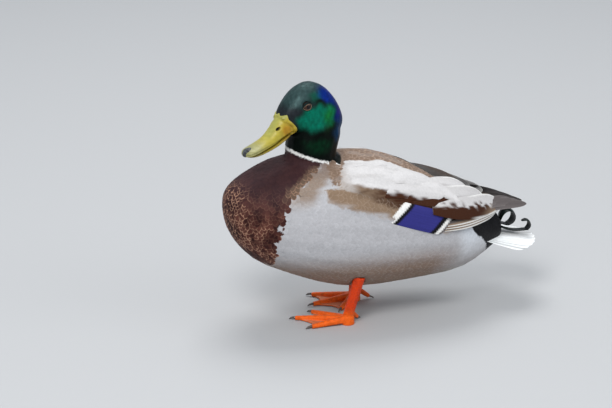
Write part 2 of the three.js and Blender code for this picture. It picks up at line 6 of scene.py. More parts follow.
import json
import math
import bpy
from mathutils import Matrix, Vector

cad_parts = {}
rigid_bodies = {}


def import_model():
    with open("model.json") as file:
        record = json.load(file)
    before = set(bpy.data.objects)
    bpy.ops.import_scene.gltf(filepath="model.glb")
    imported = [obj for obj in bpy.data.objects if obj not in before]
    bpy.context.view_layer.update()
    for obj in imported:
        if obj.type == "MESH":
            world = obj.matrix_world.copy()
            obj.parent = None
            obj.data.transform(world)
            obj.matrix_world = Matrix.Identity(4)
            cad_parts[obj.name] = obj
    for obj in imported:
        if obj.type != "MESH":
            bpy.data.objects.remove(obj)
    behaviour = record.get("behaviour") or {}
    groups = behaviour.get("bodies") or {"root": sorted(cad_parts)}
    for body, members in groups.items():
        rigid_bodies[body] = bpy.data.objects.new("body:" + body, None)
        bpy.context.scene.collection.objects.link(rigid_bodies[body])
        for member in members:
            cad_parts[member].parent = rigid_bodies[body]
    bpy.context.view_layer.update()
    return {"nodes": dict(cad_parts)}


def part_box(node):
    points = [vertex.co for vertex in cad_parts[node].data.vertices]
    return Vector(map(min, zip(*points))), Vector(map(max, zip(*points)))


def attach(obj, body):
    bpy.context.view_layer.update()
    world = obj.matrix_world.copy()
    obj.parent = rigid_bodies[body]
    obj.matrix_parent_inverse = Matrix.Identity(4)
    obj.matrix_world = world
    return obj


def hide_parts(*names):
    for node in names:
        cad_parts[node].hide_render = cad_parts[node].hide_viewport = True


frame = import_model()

from types import SimpleNamespace

import bmesh
import bpy
import numpy as np
from mathutils import Vector
from mathutils.bvhtree import BVHTree

bl_info = {
    "name": "Mallard drake",
    "version": (1, 0, 0),
    "blender": (4, 5, 0),
    "location": "3D View > Sidebar > Mallard",
    "description": "Builds a life-size mallard drake round its solids",
    "category": "Object",
}

MM = 0.001         # metres
SIDES = ("left", "right")
LEFT = -1          # the bird's left side lies towards -Y
PAIRED_FLESH = ("scapulars", "wing_coverts", "speculum", "thigh")
FLESH = ["trunk", "breast", "mantle", "rump", "undertail", "neck", "head", "collar"]
FLESH += [f"{part}_{side}" for part in PAIRED_FLESH for side in SIDES]

# The head's own frame: its turn to the left, and the notch where the bill's ridge meets the feathers, in mm.
HEAD_TURN = math.radians(17)
EYE_BACK = 28      # the eyes behind the notch
NOTCH_RISE = 239.5  # height of the notch
NECK_AXIS = 44.5   # the middle of the neck behind the notch

# Edges of the folded wing in side view: x, z in mm.
SCAPULAR_TOP = ((-68, 166), (-62, 178), (-50, 183.5), (-9, 180), (33, 161), (60, 144), (84, 126), (95, 112))
SCAPULAR_FOOT = ((-68, 163.5), (-40, 154), (5, 138.5), (50, 126), (84, 116))
WHITE_FOOT = ((-68, 169), (-30, 162), (3, 153), (36, 141.5), (70, 136.5), (84, 130))
WING_FOOT = ((-88, 153), (-60, 141), (-20, 128), (2, 120), (31, 107.5), (50, 101), (64, 103))
# The back edge of the chestnut breast: z, x in mm.
BREAST_BACK = ((30, -139), (100, -137.5), (124, -137), (145, -129), (165, -113), (187, -74), (200, -66))


# ---------------------------------------------------------------- numbers and meshes

def edge_at(line, x):
    """Second value of an edge given as pairs, where its first value is x."""
    return np.interp(x, *zip(*line))


def ramp(x, low, high):
    """0 below low, 1 above high, eased between."""
    t = np.clip((np.asarray(x, float) - low) / (high - low), 0, 1)
    return t * t * (3 - 2 * t)


def blend(first, second, share):
    """Mix of two colours or rows of colours."""
    share = np.asarray(share, float)[..., None]
    return np.asarray(first, float) * (1 - share) + np.asarray(second, float) * share


def ripple(points, size, seed):
    """Smooth noise between -1 and 1 at points in mm, with bumps about size mm across."""
    draw = np.random.RandomState(seed)
    total = np.zeros(len(points))
    for _ in range(7):
        wave = draw.normal(size=3)
        wave *= 2 * math.pi / (size * (0.7 + 0.8 * draw.rand())) / np.linalg.norm(wave)
        total += np.sin(points @ wave + draw.rand() * 2 * math.pi)
    return np.clip(total / 3.2, -1, 1)


def smooth_rows(table, count):
    """The rows of a table blended to count evenly spaced rows."""
    table = np.array(table, float)
    last = len(table) - 1
    place = np.linspace(0, last, count)
    i = np.minimum(place.astype(int), last - 1)
    u = (place - i)[:, None]
    before, here = table[np.maximum(i - 1, 0)], table[i]
    after, beyond = table[i + 1], table[np.minimum(i + 2, last)]
    leave, arrive = (after - before) / 2, (beyond - here) / 2
    return ((2 * u**3 - 3 * u**2 + 1) * here + (u**3 - 2 * u**2 + u) * leave
            + (3 * u**2 - 2 * u**3) * after + (u**3 - u**2) * arrive)


def unit(vectors):
    """Vectors of length 1."""
    return vectors / np.maximum(np.linalg.norm(vectors, axis=-1, keepdims=True), 1e-12)


def build_object(name, points, faces, material=None):
    """Smooth object from points in metres and faces, all of one material."""
    mesh = bpy.data.meshes.new(name)
    faces = np.asarray(faces)
    if faces.ndim == 2:
        mesh.vertices.add(len(points))
        mesh.vertices.foreach_set("co", np.asarray(points, np.float32).ravel())
        width = faces.shape[1]
        mesh.loops.add(faces.size)
        mesh.loops.foreach_set("vertex_index", faces.ravel().astype(np.int32))
        mesh.polygons.add(len(faces))
        mesh.polygons.foreach_set("loop_start", np.arange(0, faces.size, width, dtype=np.int32))
        mesh.update(calc_edges=True)
    else:
        mesh.from_pydata([tuple(p) for p in points], [], [list(f) for f in faces])
    mesh.polygons.foreach_set("use_smooth", np.full(len(mesh.polygons), True))
    mesh.validate()
    if material:
        mesh.materials.append(material)
    made = bpy.data.objects.new(name, mesh)
    bpy.context.scene.collection.objects.link(made)
    return made


def mesh_points(mesh):
    """The mesh's vertices, in metres."""
    points = np.empty(len(mesh.vertices) * 3, np.float32)
    mesh.vertices.foreach_get("co", points)
    return points.reshape(-1, 3).astype(float)


def mesh_normals(mesh):
    """The mesh's smooth normals at its vertices."""
    normals = np.empty(len(mesh.vertices) * 3, np.float32)
    mesh.vertex_normals.foreach_get("vector", normals)
    return normals.reshape(-1, 3)


def move_points(mesh, points):
    """Puts the mesh's vertices at points in metres."""
    mesh.vertices.foreach_set("co", points.astype(np.float32).ravel())


def cover(made, material):
    """Gives an object one material only."""
    made.data.materials.clear()
    made.data.materials.append(material)


def set_values(mesh, name, kind, values):
    """Stores one value, vector or colour per vertex."""
    layer = mesh.attributes.new(name, kind, "POINT")
    field = {"FLOAT": "value", "FLOAT_VECTOR": "vector", "FLOAT_COLOR": "color"}[kind]
    values = np.asarray(values, np.float32)
    if kind == "FLOAT_COLOR":
        values = np.concatenate([values, np.ones((len(values), 1), np.float32)], 1)
    layer.data.foreach_set(field, values.ravel())


def bake_modifiers(made):
    """Applies every modifier of an object."""
    graph = bpy.context.evaluated_depsgraph_get()
    mesh = bpy.data.meshes.new_from_object(made.evaluated_get(graph))
    old = made.data
    made.modifiers.clear()
    made.data = mesh
    bpy.data.meshes.remove(old)


def joined_copy(name, nodes, swell):
    """Copy of several solids as one mesh, each swollen by some metres."""
    points, faces, start = [], [], 0
    for node in nodes:
        mesh = frame["nodes"][node].data
        work = bmesh.new()
        work.from_mesh(mesh)
        bmesh.ops.remove_doubles(work, verts=work.verts, dist=1e-6)
        bmesh.ops.triangulate(work, faces=work.faces)
        work.normal_update()
        place = {v: start + i for i, v in enumerate(work.verts)}
        points += [tuple(v.co + v.normal * swell) for v in work.verts]
        faces += [[place[v] for v in f.verts] for f in work.faces]
        start += len(work.verts)
        work.free()
    return build_object(name, points, np.array(faces))


def remeshed(made, voxel, rounds, keep_largest=True):
    """Voxel remesh, then smoothing, with loose inner pieces removed."""
    step = made.modifiers.new("voxels", "REMESH")
    step.mode = "VOXEL"
    step.voxel_size = voxel
    bake_modifiers(made)
    if keep_largest:
        work = bmesh.new()
        work.from_mesh(made.data)
        seen, best = set(), []
        for seed in work.verts:
            if seed in seen:
                continue
            seen.add(seed)
            group, queue = [seed], [seed]
            while queue:
                for edge in queue.pop().link_edges:
                    for v in edge.verts:
                        if v not in seen:
                            seen.add(v)
                            group.append(v)
                            queue.append(v)
            best = max(best, group, key=len)
        bmesh.ops.delete(work, geom=list(set(work.verts) - set(best)), context="VERTS")
        work.to_mesh(made.data)
        work.free()
    ease = made.modifiers.new("ease", "SMOOTH")
    ease.factor = 0.5
    ease.iterations = rounds
    bake_modifiers(made)
    made.data.polygons.foreach_set("use_smooth", np.full(len(made.data.polygons), True))


def inset(made, depth):
    """Moves every vertex inwards by depth metres, a number or one per vertex."""
    mesh = made.data
    move_points(mesh, mesh_points(mesh) - mesh_normals(mesh) * np.reshape(depth, (-1, 1)))
    mesh.update()


# ---------------------------------------------------------------- shader arithmetic

class Value:
    """A shader socket that takes part in Python arithmetic."""

    def __init__(self, tree, socket):
        self.tree = tree
        self.socket = socket

    def maths(self, operation, *parts, clamp=False):
        """Math node of the given operation on sockets or numbers."""
        settings = {"operation": operation, "use_clamp": clamp}
        return add_node(self.tree, "ShaderNodeMath", settings, dict(enumerate(parts)))

    def __add__(self, other):
        return self.maths("ADD", self, other)

    __radd__ = __add__

    def __sub__(self, other):
        return self.maths("SUBTRACT", self, other)

    def __rsub__(self, other):
        return self.maths("SUBTRACT", other, self)

    def __mul__(self, other):
        return self.maths("MULTIPLY", self, other)

    __rmul__ = __mul__

    def __abs__(self):
        return self.maths("ABSOLUTE", self)

    def __pow__(self, other):
        return self.maths("POWER", self, other)

    def __rpow__(self, other):
        return self.maths("POWER", other, self)

    def sine(self):
        """Sine, of radians."""
        return self.maths("SINE", self)

    def clamp(self):
        """The same value kept between 0 and 1."""
        return self.maths("ADD", self, 0, clamp=True)

    def rise(self, low, high):
        """0 below low, 1 above high, eased between."""
        settings = {"interpolation_type": "SMOOTHSTEP"}
        return add_node(self.tree, "ShaderNodeMapRange", settings, {0: self, 1: low, 2: high})


def add_node(tree, kind, settings=None, inputs=None, output=0):
    """Adds a node, its settings first, then the values or links of its sockets."""
    made = tree.nodes.new(kind)
    for key, value in (settings or {}).items():
        setattr(made, key, value)
    for key, value in (inputs or {}).items():
        socket = made.inputs[key]
        if isinstance(value, Value):
            tree.links.new(value.socket, socket)
        elif isinstance(value, (tuple, list)) and len(value) == 3 and socket.type == "RGBA":
            socket.default_value = (*value, 1)
        else:
            socket.default_value = value
    return Value(tree, made.outputs[output])


def mix(tree, share, first, second, how="MIX"):
    """Mix of two colours."""
    settings = {"data_type": "RGBA", "blend_type": how}
    return add_node(tree, "ShaderNodeMix", settings, {0: share, 6: first, 7: second}, 2)


def attribute(tree, name, output="Fac"):
    """A value, colour or vector stored on the mesh."""
    return add_node(tree, "ShaderNodeAttribute", {"attribute_name": name}, output=output)


def position(tree):
    """Object coordinates, in metres."""
    return add_node(tree, "ShaderNodeTexCoord", output="Object")


def noise(tree, where, scale, detail=2.0, rough=0.5):
    """Cloudy noise between 0 and 1."""
    inputs = {"Vector": where, "Scale": scale, "Detail": detail, "Roughness": rough}
    return add_node(tree, "ShaderNodeTexNoise", None, inputs)


def split(tree, vector):
    """The three parts of a vector."""
    first = add_node(tree, "ShaderNodeSeparateXYZ", None, {0: vector})
    return [Value(tree, socket) for socket in first.socket.node.outputs]


def grey(tree, level):
    """The same value in red, green and blue."""
    return add_node(tree, "ShaderNodeCombineColor", None, {0: level, 1: level, 2: level})


def bump(tree, height, strength, distance):
    """Normals bent by a height, distance in metres."""
    inputs = {"Height": height, "Strength": strength, "Distance": distance}
    return add_node(tree, "ShaderNodeBump", None, inputs)


def new_material(name, **shader):
    """Material with its shader's own sockets set. Returns it, its tree and the shader node."""
    made = bpy.data.materials.new(name)
    made.use_nodes = True
    tree = made.node_tree
    surface = tree.nodes["Principled BSDF"]
    for key, value in shader.items():
        surface.inputs[key.replace("_", " ")].default_value = value
    return made, tree, surface


def feed(tree, surface, name, value):
    """Links a value to a socket of the shader."""
    tree.links.new(value.socket, surface.inputs[name])


def plain(colour):
    """A colour as a tuple for a socket."""
    return tuple(float(v) for v in colour)


def plume_material(name, gloss=0.62, barbs=1.0, **shader):
    """Feather vane: its own tint and edge, a raised shaft, barbs and fine wavy bars."""
    made, tree, surface = new_material(name, **{"Specular_IOR_Level": 0.12, **shader})
    across, along, scale = split(tree, attribute(tree, "vane", "Vector"))
    fringe, bars, chance = split(tree, attribute(tree, "marks", "Vector"))
    tint = attribute(tree, "tint", "Color")
    edge = attribute(tree, "edge", "Color")
    side = abs(across)
    rim = (side ** 2.2 * 0.75 + along ** 3.0 * 0.8).rise(0.5, 0.95)
    mottled = noise(tree, position(tree), 420.0, 3.0)
    colour = mix(tree, (rim * fringe * (0.55 + mottled * 0.9)).clamp(), tint, edge)
    wavy = noise(tree, position(tree), 260.0, 1.0)
    lines = (((along * scale * 2.4 + side * 1.6 + wavy * 6.0 + chance * 7.0) * 2.6).sine()).rise(-0.2, 0.9)
    colour = mix(tree, (lines * bars * 0.26).clamp(), colour, plain(colours().wavy_bar))
    darker = (0.86 + mottled * 0.28) * (0.97 + 0.06 * chance)
    colour = mix(tree, 1.0, colour, grey(tree, darker), "MULTIPLY")
    comb = ((along * scale - side * 2.2) * 9.5 + chance * 20.0).sine()
    shaft = 1 - side.rise(0.02, 0.1)
    feed(tree, surface, "Base Color", colour)
    feed(tree, surface, "Roughness", (gloss + 0.16 * (mottled - 0.5)).clamp())
    height = comb * 0.5 + shaft * 1.4
    feed(tree, surface, "Normal", bump(tree, height, 0.24 * barbs, 0.00012))
    return made


# ---------------------------------------------------------------- the head's own frame

def head_frame():
    """Notch of the culmen and the head's forward and left directions, in metres."""
    low, high = zip(*(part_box(f"eye_{side}") for side in SIDES))
    centres = [np.array((a + b) / 2) for a, b in zip(low, high)]
    forward = np.array([-math.cos(HEAD_TURN), -math.sin(HEAD_TURN), 0])
    left = np.array([math.sin(HEAD_TURN), -math.cos(HEAD_TURN), 0])
    notch = (centres[0] + centres[1]) / 2 + forward * EYE_BACK * MM
    notch[2] = NOTCH_RISE * MM
    return notch, forward, left, centres


NOTCH, FORWARD, LEFTWARD, EYES = head_frame()


def in_head(points):
    """Distance behind the notch, to the left and height, in mm, of points in metres."""
    away = (points - NOTCH) / MM
    return -(away @ FORWARD), away @ LEFTWARD, points[:, 2] / MM


def from_head(ahead, left, height):
    """Points in metres from mm in the head's frame."""
    ahead, left, height = np.broadcast_arrays(ahead, left, height)
    out = NOTCH + (ahead[..., None] * FORWARD + left[..., None] * LEFTWARD) * MM
    out[..., 2] = height * MM
    return out


# ---------------------------------------------------------------- markings

def pigment(name, description, default):
    """A colour that a user can change."""
    return bpy.props.FloatVectorProperty(name=name, description=description, default=default, size=3,
                                         min=0.0, max=1.0, subtype="COLOR")


class MallardColours(bpy.types.PropertyGroup):
    """Colours of the plumage, bill, eyes and legs."""

    green_black: pigment("Green-black", "Shaded parts of the head", (0.001, 0.003, 0.002))
    crown: pigment("Crown", "Grey sheen on the crown", (0.030, 0.058, 0.058))
    lores: pigment("Lores", "Face between eye and bill", (0.018, 0.022, 0.026))
    emerald: pigment("Emerald", "Gloss of the cheek", (0.001, 0.150, 0.092))
    leaf: pigment("Leaf green", "Gloss behind the cheek", (0.006, 0.150, 0.026))
    blue: pigment("Blue", "Gloss of the rear crown and nape", (0.001, 0.018, 0.185))
    violet: pigment("Violet", "Gloss at the edge of the nape", (0.040, 0.006, 0.150))
    teal: pigment("Teal", "Gloss low on the nape", (0.001, 0.050, 0.150))
    neck: pigment("Neck glint", "Green glint of the neck", (0.001, 0.022, 0.008))
    white: pigment("White", "Collar and wing bars", (0.80, 0.79, 0.76))
    chestnut: pigment("Chestnut", "Breast", (0.105, 0.036, 0.026))
    chestnut_dark: pigment("Dark chestnut", "Shaded patches of the breast", (0.022, 0.004, 0.004))
    plum: pigment("Plum", "Sheen at the top of the breast", (0.034, 0.015, 0.018))
    tan: pigment("Tan", "Fringes of the breast feathers", (0.46, 0.26, 0.17))
    flank: pigment("Flank", "Pale grey flank", (0.46, 0.455, 0.47))
    flank_white: pigment("Rear flank", "Whitish rear flank", (0.66, 0.69, 0.73))
    # Partly the belly's own creamy grey, partly painted shade of the underside.
    belly: pigment("Belly", "Creamy grey belly", (0.245, 0.170, 0.128))
    vent: pigment("Vent", "Pale vent", (0.55, 0.54, 0.51))
    scapular: pigment("Scapulars", "White-grey shoulder feathers", (0.60, 0.585, 0.58))
    scapular_grey: pigment("Grey scapulars", "Greyer shoulder feathers", (0.40, 0.38, 0.365))
    rufous: pigment("Rufous", "Brown band along the wing", (0.045, 0.012, 0.003))
    covert: pigment("Coverts", "Wing coverts", (0.235, 0.160, 0.105))
    covert_edge: pigment("Covert edges", "Pale edges of the coverts", (0.36, 0.27, 0.20))
    mantle: pigment("Mantle", "Back", (0.19, 0.128, 0.092))
    mantle_edge: pigment("Mantle edges", "Pale edges of the back feathers", (0.38, 0.28, 0.215))
    black: pigment("Black", "Rump and tail curls", (0.004, 0.0035, 0.005))
    speculum: pigment("Speculum", "Violet-blue wing patch", (0.030, 0.030, 0.190))
    quill: pigment("Quills", "Flight feathers", (0.105, 0.090, 0.088))
    quill_edge: pigment("Quill edges", "Pale edges of the flight feathers", (0.26, 0.235, 0.225))
    tail: pigment("Tail", "White tail", (0.86, 0.88, 0.88))
    thigh: pigment("Thighs", "Small feathers at the top of the leg", (0.24, 0.18, 0.14))
    bill: pigment("Bill", "Olive yellow of the bill", (0.40, 0.33, 0.032))
    bill_green: pigment("Bill culmen", "Greener top of the bill", (0.30, 0.31, 0.085))
    bill_tip: pigment("Bill tip", "Greenish grey towards the tip", (0.24, 0.25, 0.13))
    bill_base: pigment("Bill base", "Orange-brown patch by the gape", (0.36, 0.19, 0.004))
    iris: pigment("Iris", "Dark brown iris", (0.040, 0.016, 0.009))
    lid: pigment("Eyelid", "Pale rim of the lids", (0.30, 0.215, 0.15))
    toe: pigment("Toes", "Bright orange toes", (0.95, 0.140, 0.005))
    shank: pigment("Shanks", "Orange-red shanks", (0.72, 0.050, 0.003))
    web: pigment("Webs", "Dusky pink webs", (0.42, 0.20, 0.12))
    seam: pigment("Leg seams", "Lines between the scales of the legs", (0.20, 0.02, 0.005))
    # Painted shade: the dark of the toes' undersides.
    sole_shade: pigment("Soles", "Underside of the toes", (0.10, 0.05, 0.045))
    pupil: pigment("Pupil", "Black of the eye", (0.003, 0.002, 0.002))
    # Painted shade: near black for the shade inside the nostrils.
    nostril: pigment("Nostrils", "Dark inside of the nostrils", (0.01, 0.008, 0.005))
    nail: pigment("Nail", "Dark nail of the bill", (0.022, 0.023, 0.026))
    nail_shine: pigment("Nail sheen", "Paler streaks of the nail", (0.075, 0.082, 0.09))
    claw: pigment("Claws", "Dark horn of the claws", (0.02, 0.017, 0.016))
    claw_pale: pigment("Pale claws", "Paler streaks of the claws", (0.16, 0.12, 0.10))
    wavy_bar: pigment("Wavy bars", "Fine bars across the grey feathers", (0.085, 0.078, 0.075))


def colours():
    """The colours as arrays, by name."""
    group = bpy.context.scene.mallard_colours
    names = MallardColours.__annotations__
    return SimpleNamespace(**{name: np.array(getattr(group, name)) for name in names})


KIND = {name: index for index, name in enumerate((
    "head", "collar", "breast", "mantle", "scapular", "covert", "wing", "flank", "belly", "rump",
    "undertail", "thigh", "neck"))}


def among(kind, *names):
    """True where the kind of feather is one of those named."""
    return np.isin(kind, [KIND[name] for name in names])


def head_colour(c, back, out, height):
    """Dark green head with the gloss of its feathers painted in as fixed patches, a grey sheen on the crown,
    emerald on the cheek and blue and violet towards the nape, from the head's own measures in mm.
    """
    p = np.stack([back, out, height], -1)
    back = back + 2.2 * ripple(p, 15, 51)
    height = height + 1.6 * ripple(p, 12, 52)
    rear = back + 0.75 * np.abs(out)
    colour = blend(c.green_black, c.crown, ramp(height, 252, 264) * ramp(66 - rear, 0, 16))
    colour = blend(colour, c.crown, ramp(42 - back, 0, 18) * ramp(height, 240, 254))
    face = ramp(24 - back, 0, 12) * ramp(height, 220, 236) * ramp(252 - height, 0, 8)
    colour = blend(colour, c.lores, face)
    cheek = 1 - ramp(np.hypot((rear - 53) / 30, (height - 235 - 0.12 * (back - 42)) / 17.5), 0.5, 1.05)
    colour = blend(colour, c.emerald, cheek)
    above = 1 - ramp(np.hypot((back - 40) / 15, (height - 258) / 7), 0.3, 1)
    colour = blend(colour, c.emerald * 0.5, above * 0.75)
    colour = blend(colour, c.leaf, 0.9 * np.exp(-((rear - 69) / 6) ** 2 - ((height - 235) / 9) ** 2))
    border = 257 - 0.43 * (back - 33)
    blue = ramp(rear, 48, 68) * ramp(height - border, -2, 6) * ramp(274 - height, 0, 14)
    colour = blend(colour, c.blue, blue)
    streak = ramp(back, 31, 38) * ramp(76 - rear, 0, 20) * np.exp(-((height - border + 1.5) / 2.6) ** 2)
    colour = blend(colour, c.green_black, streak * 0.7)
    colour = blend(colour, c.blue * 0.7, ramp(rear, 73, 83) * ramp(height, 218, 234) * 0.95)
    low_nape = ramp(rear, 73, 84) * ramp(height, 202, 216) * ramp(234 - height, 0, 14)
    colour = blend(colour, c.teal, low_nape * 0.6)
    nape_edge = ramp(rear, 79, 86) * ramp(height, 232, 241) * ramp(260 - height, 0, 10)
    colour = blend(colour, c.violet, nape_edge * 0.9)
    glint = 1 - ramp(np.hypot((back - 39) / 20, (height - 204) / 12), 0.3, 1)
    colour = blend(colour, c.neck, glint * (0.75 + 0.25 * ripple(p, 5, 53)))
    return colour * (1 + 0.2 * ripple(p, 4, 54))[..., None]


COLLAR_SLOPE = 0.344    # the collar's plane falls towards the tail
COLLAR_MIDDLE = (-84.6, 188.7)


def collar_height(x):
    """Height of the middle of the collar at x, in mm."""
    return COLLAR_MIDDLE[1] - COLLAR_SLOPE * (x - COLLAR_MIDDLE[0])


def regions_of(points, body_only=False):
    """Which part of the coat each point belongs to, in metres, with or without head and collar."""
    p = points / MM
    x, y, z = p.T
    rough = ripple(p, 16, 3) + 0.5 * ripple(p, 5, 4)
    back, out, height = in_head(points)
    region = np.full(len(p), KIND["flank"])
    region[z < 52 + 4 * rough - 6 * ramp(x, 60, 110)] = KIND["belly"]
    wing_low = edge_at(WING_FOOT, x)
    foot = edge_at(SCAPULAR_FOOT, x)
    top = edge_at(SCAPULAR_TOP, x)
    bar, level = wing_axes(x, z)
    region[(x > -86) & (x < 84) & (z > wing_low + 1.5 * rough) & (z <= foot)] = KIND["covert"]
    wing = (bar > -0.06) & (bar < 1.25) & (z > wing_low + 3.5 + 0.6 * rough) & (z <= foot) & (level < 1)
    region[wing] = KIND["wing"]
    region[(x > -72) & (x < 86) & (z > foot) & (z <= top)] = KIND["scapular"]
    region[(x > -76) & (z > top) & (x < 93)] = KIND["mantle"]
    region[x < edge_at(BREAST_BACK, z) + 3.0 * rough] = KIND["breast"]
    rear = (z > 74) & (x > 90 + (96 - z) / 1.05 + rough)
    region[rear & ((z < 114) | (x > 86))] = KIND["rump"]
    region[(z <= 74) & (x > 111 + (75 - z) * 0.43 + rough)] = KIND["undertail"]
    thigh = (z < 54) & (((x + 42) ** 2 + (y + 46) ** 2 < 130) | ((x + 10) ** 2 + (y - 46) ** 2 < 130))
    region[thigh] = KIND["thigh"]
    if body_only:
        return region
    above = z - collar_height(x)
    limit = 36 - 3.5 * ramp(back, 58, 74) + 20 * ramp(z, 187, 199)
    on_neck = (np.hypot(back - NECK_AXIS, out) < limit) & (z > 172)
    region[(on_neck & (above > 0)) | (height > 208)] = KIND["head"]
    wide = 1.5 + 0.7 * ramp(28 - back, 0, 16) + 0.25 * rough
    region[on_neck & (np.abs(above) < wide)] = KIND["collar"]
    return region


def markings(points, body_only=False):
    """Tint, edge tint, fringe and bars at points of the coat, in metres."""
    c = colours()
    p = points / MM
    x, _, z = p.T
    back, out, height = in_head(points)
    region = regions_of(points, body_only)
    foot = edge_at(SCAPULAR_FOOT, x)
    top = edge_at(SCAPULAR_TOP, x)
    wing_low = edge_at(WING_FOOT, x)
    bar, _ = wing_axes(x, z)
    tint = np.zeros((len(p), 3))
    edge = np.zeros((len(p), 3))
    fringe = np.zeros(len(p))
    bars = np.zeros(len(p))

    def lay(name, colour, rim=None, rim_amount=0.0, barring=0.0):
        """Sets the markings of one region."""
        chosen = region == KIND[name]
        colour = np.broadcast_to(colour, tint.shape)
        tint[chosen] = colour[chosen]
        edge[chosen] = np.broadcast_to(colour if rim is None else rim, tint.shape)[chosen]
        fringe[chosen] = np.broadcast_to(rim_amount, fringe.shape)[chosen]
        bars[chosen] = np.broadcast_to(barring, bars.shape)[chosen]

    lay("head", head_colour(c, back, out, height))
    lay("collar", c.white)
    patch = ripple(p, 22, 8)
    fleck = ripple(p, 6, 18)
    lit = np.clip(0.5 + patch * 0.45 + fleck * 0.35, 0, 1)
    chest = blend(blend(c.chestnut_dark, c.chestnut, lit), c.plum, ramp(z, 128, 168) * 0.85)
    scaly = ramp(-x, 158, 178) * ramp(186 - z, 0, 26) * 0.9 + ramp(142 - z, 0, 34) * ramp(patch, -0.35, 0.55)
    scaly = np.clip(scaly * (0.55 + 0.75 * fleck) + 0.08 * ramp(172 - z, 0, 20), 0, 1)
    shoulder = ramp(z, 150, 160) * ramp(186 - z, 0, 8) * ramp(x - edge_at(BREAST_BACK, z), -16, -4)
    lay("breast", blend(chest, c.covert * 0.8, shoulder * 0.6), c.tan, np.clip(scaly + 0.4 * shoulder, 0, 1))
    greyer = ramp(ripple(p, 20, 5), 0.2, 0.9) * 0.2
    lay("mantle", blend(c.mantle, c.scapular_grey, greyer), c.mantle_edge, 0.8)
    drop = (z - foot) / np.maximum(top - foot, 1)
    worn = ripple(p * (0.5, 1, 1.6), 13, 9)
    pale = blend(c.scapular, c.scapular_grey, ramp(worn, 0, 1) * 0.35 + ramp(0.35 - drop, 0, 0.3) * 0.3)
    pale = blend(pale, c.covert, ramp(-x, 52, 64) * 0.5)
    brown = ramp(edge_at(WHITE_FOOT, x) + 2.5 * worn - z, -1.5, 2.5) * ramp(x, -64, -46)
    streak = ramp(ripple(p * (0.35, 1, 1.6), 6, 17), -0.5, 0.7)
    band = blend(c.covert * 0.8, c.rufous, np.clip(0.35 * streak + 0.85 * ramp(x, -50, 0), 0, 1))
    lay("scapular", blend(pale, band, brown), c.scapular, 0.25 * (1 - brown), 0.45 * (1 - brown))
    share = (z - wing_low) / np.maximum(foot - wing_low, 1)
    covert = blend(c.covert, c.flank, ramp(0.4 - share + 0.2 * worn, 0, 0.35) * 0.8)
    covert = blend(covert, band, ramp(share + 0.15 * worn, 0.6, 0.85) * ramp(x, -64, -40))
    covert = blend(covert, c.covert, ramp(-x, 40, 60) * 0.4)
    lay("covert", covert, c.covert_edge, 0.35, 0.15)
    lay("wing", speculum_colour(c, bar))
    side = blend(c.flank, c.flank_white, ramp(x, 62, 84) * ramp(z, 55, 72))
    # Lower down the flank takes on the belly's colour, its own tone with the painted shade of the underside.
    warm = ramp(98 - z, 0, 34) * (1 - 0.7 * ramp(x, 30, 80))
    barring = (0.75 - 0.5 * warm) * (1 - ramp(x, 60, 80))
    lay("flank", blend(side, c.belly, warm), c.flank_white, 0.12, barring)
    lay("belly", blend(c.belly, c.vent * 0.8, ramp(x, 30, 95)), c.vent, 0.15, 0.2)
    lay("rump", c.black, c.green_black * 1.5, 0.2)
    lay("undertail", c.black, c.green_black * 1.5, 0.2)
    lay("thigh", c.thigh, c.belly, 0.4)
    behind = x - edge_at(BREAST_BACK, z) + 3 * worn
    tanned = ramp(z, 142, 160) * ramp(30 - behind, 0, 14) * ramp(behind, -3, 3) * ramp(-x, 56, 66)
    tanned *= among(region, "flank", "scapular", "mantle", "covert")
    tint = blend(tint, blend(c.covert, c.mantle, ramp(z, 168, 182)), 0.85 * tanned)
    return tint, edge, fringe * (1 - 0.5 * tanned), bars * (1 - 0.7 * tanned)


# ---------------------------------------------------------------- feathers

# Outlines of feathers: share of the length, share of the half width.
BODY_VANE = np.array(((0, 0.32), (0.2, 0.76), (0.45, 1), (0.7, 0.98), (0.88, 0.74), (1, 0.22)))
TINY_VANE = np.array(((0, 0.4), (0.4, 1), (0.78, 0.86), (1, 0.25)))
LONG_VANE = np.array(((0, 0.3), (0.08, 0.5), (0.2, 0.78), (0.35, 0.95), (0.5, 1), (0.65, 1), (0.78, 0.94),
                      (0.88, 0.78), (0.95, 0.52), (1, 0.16)))
# Ring round a vane: across, share of the thickness, place in its patch of the map.
BODY_RING = np.array(((-1, 0, 0), (-0.45, 0.75, 0.24), (0, 1, 0.4), (0.45, 0.75, 0.56), (1, 0, 0.8),
                      (0, -0.5, 0.9)))
TINY_RING = np.array(((-1, 0, 0), (0, 1, 0.4), (1, 0, 0.8), (0, -0.5, 0.9)))
PATCH = 0.003      # each feather's patch in the baking map
VOXEL = {"skin": 1.9 * MM, "bill": 0.5 * MM, "leg": 0.62 * MM, "claws": 0.3 * MM}
UNDER_SHADE = 0.7  # the skin's tint against that of the feathers
# Points tried as roots, their seed, and whether they are for the head and neck only.
SCATTER = ((150000, 11, False), (700000, 12, True))

# Feathers by region: length, width, spacing between roots and rise of the tip, in mm.
SIZES = {
    "head": (3.7, 2.3, 1.45, 0.36),
    "neck": (5.6, 3.4, 2.0, 0.5),
    "collar": (4.0, 2.6, 1.5, 0.45),
    "breast": (10.5, 6.6, 3.1, 0.85),
    "mantle": (16.0, 9.6, 4.4, 1.0),
    "scapular": (30.0, 10.0, 4.8, 0.8),
    "covert": (13.0, 8.0, 3.8, 0.8),
    "wing": (14.0, 9.0, 6.0, 0.3),
    "flank": (17.0, 7.6, 3.1, 0.5),
    "belly": (13.0, 7.0, 3.3, 0.5),
    "rump": (14.0, 7.5, 3.8, 0.9),
    "undertail": (17.0, 7.5, 4.0, 0.9),
    "thigh": (7.0, 4.4, 2.3, 0.6),
}


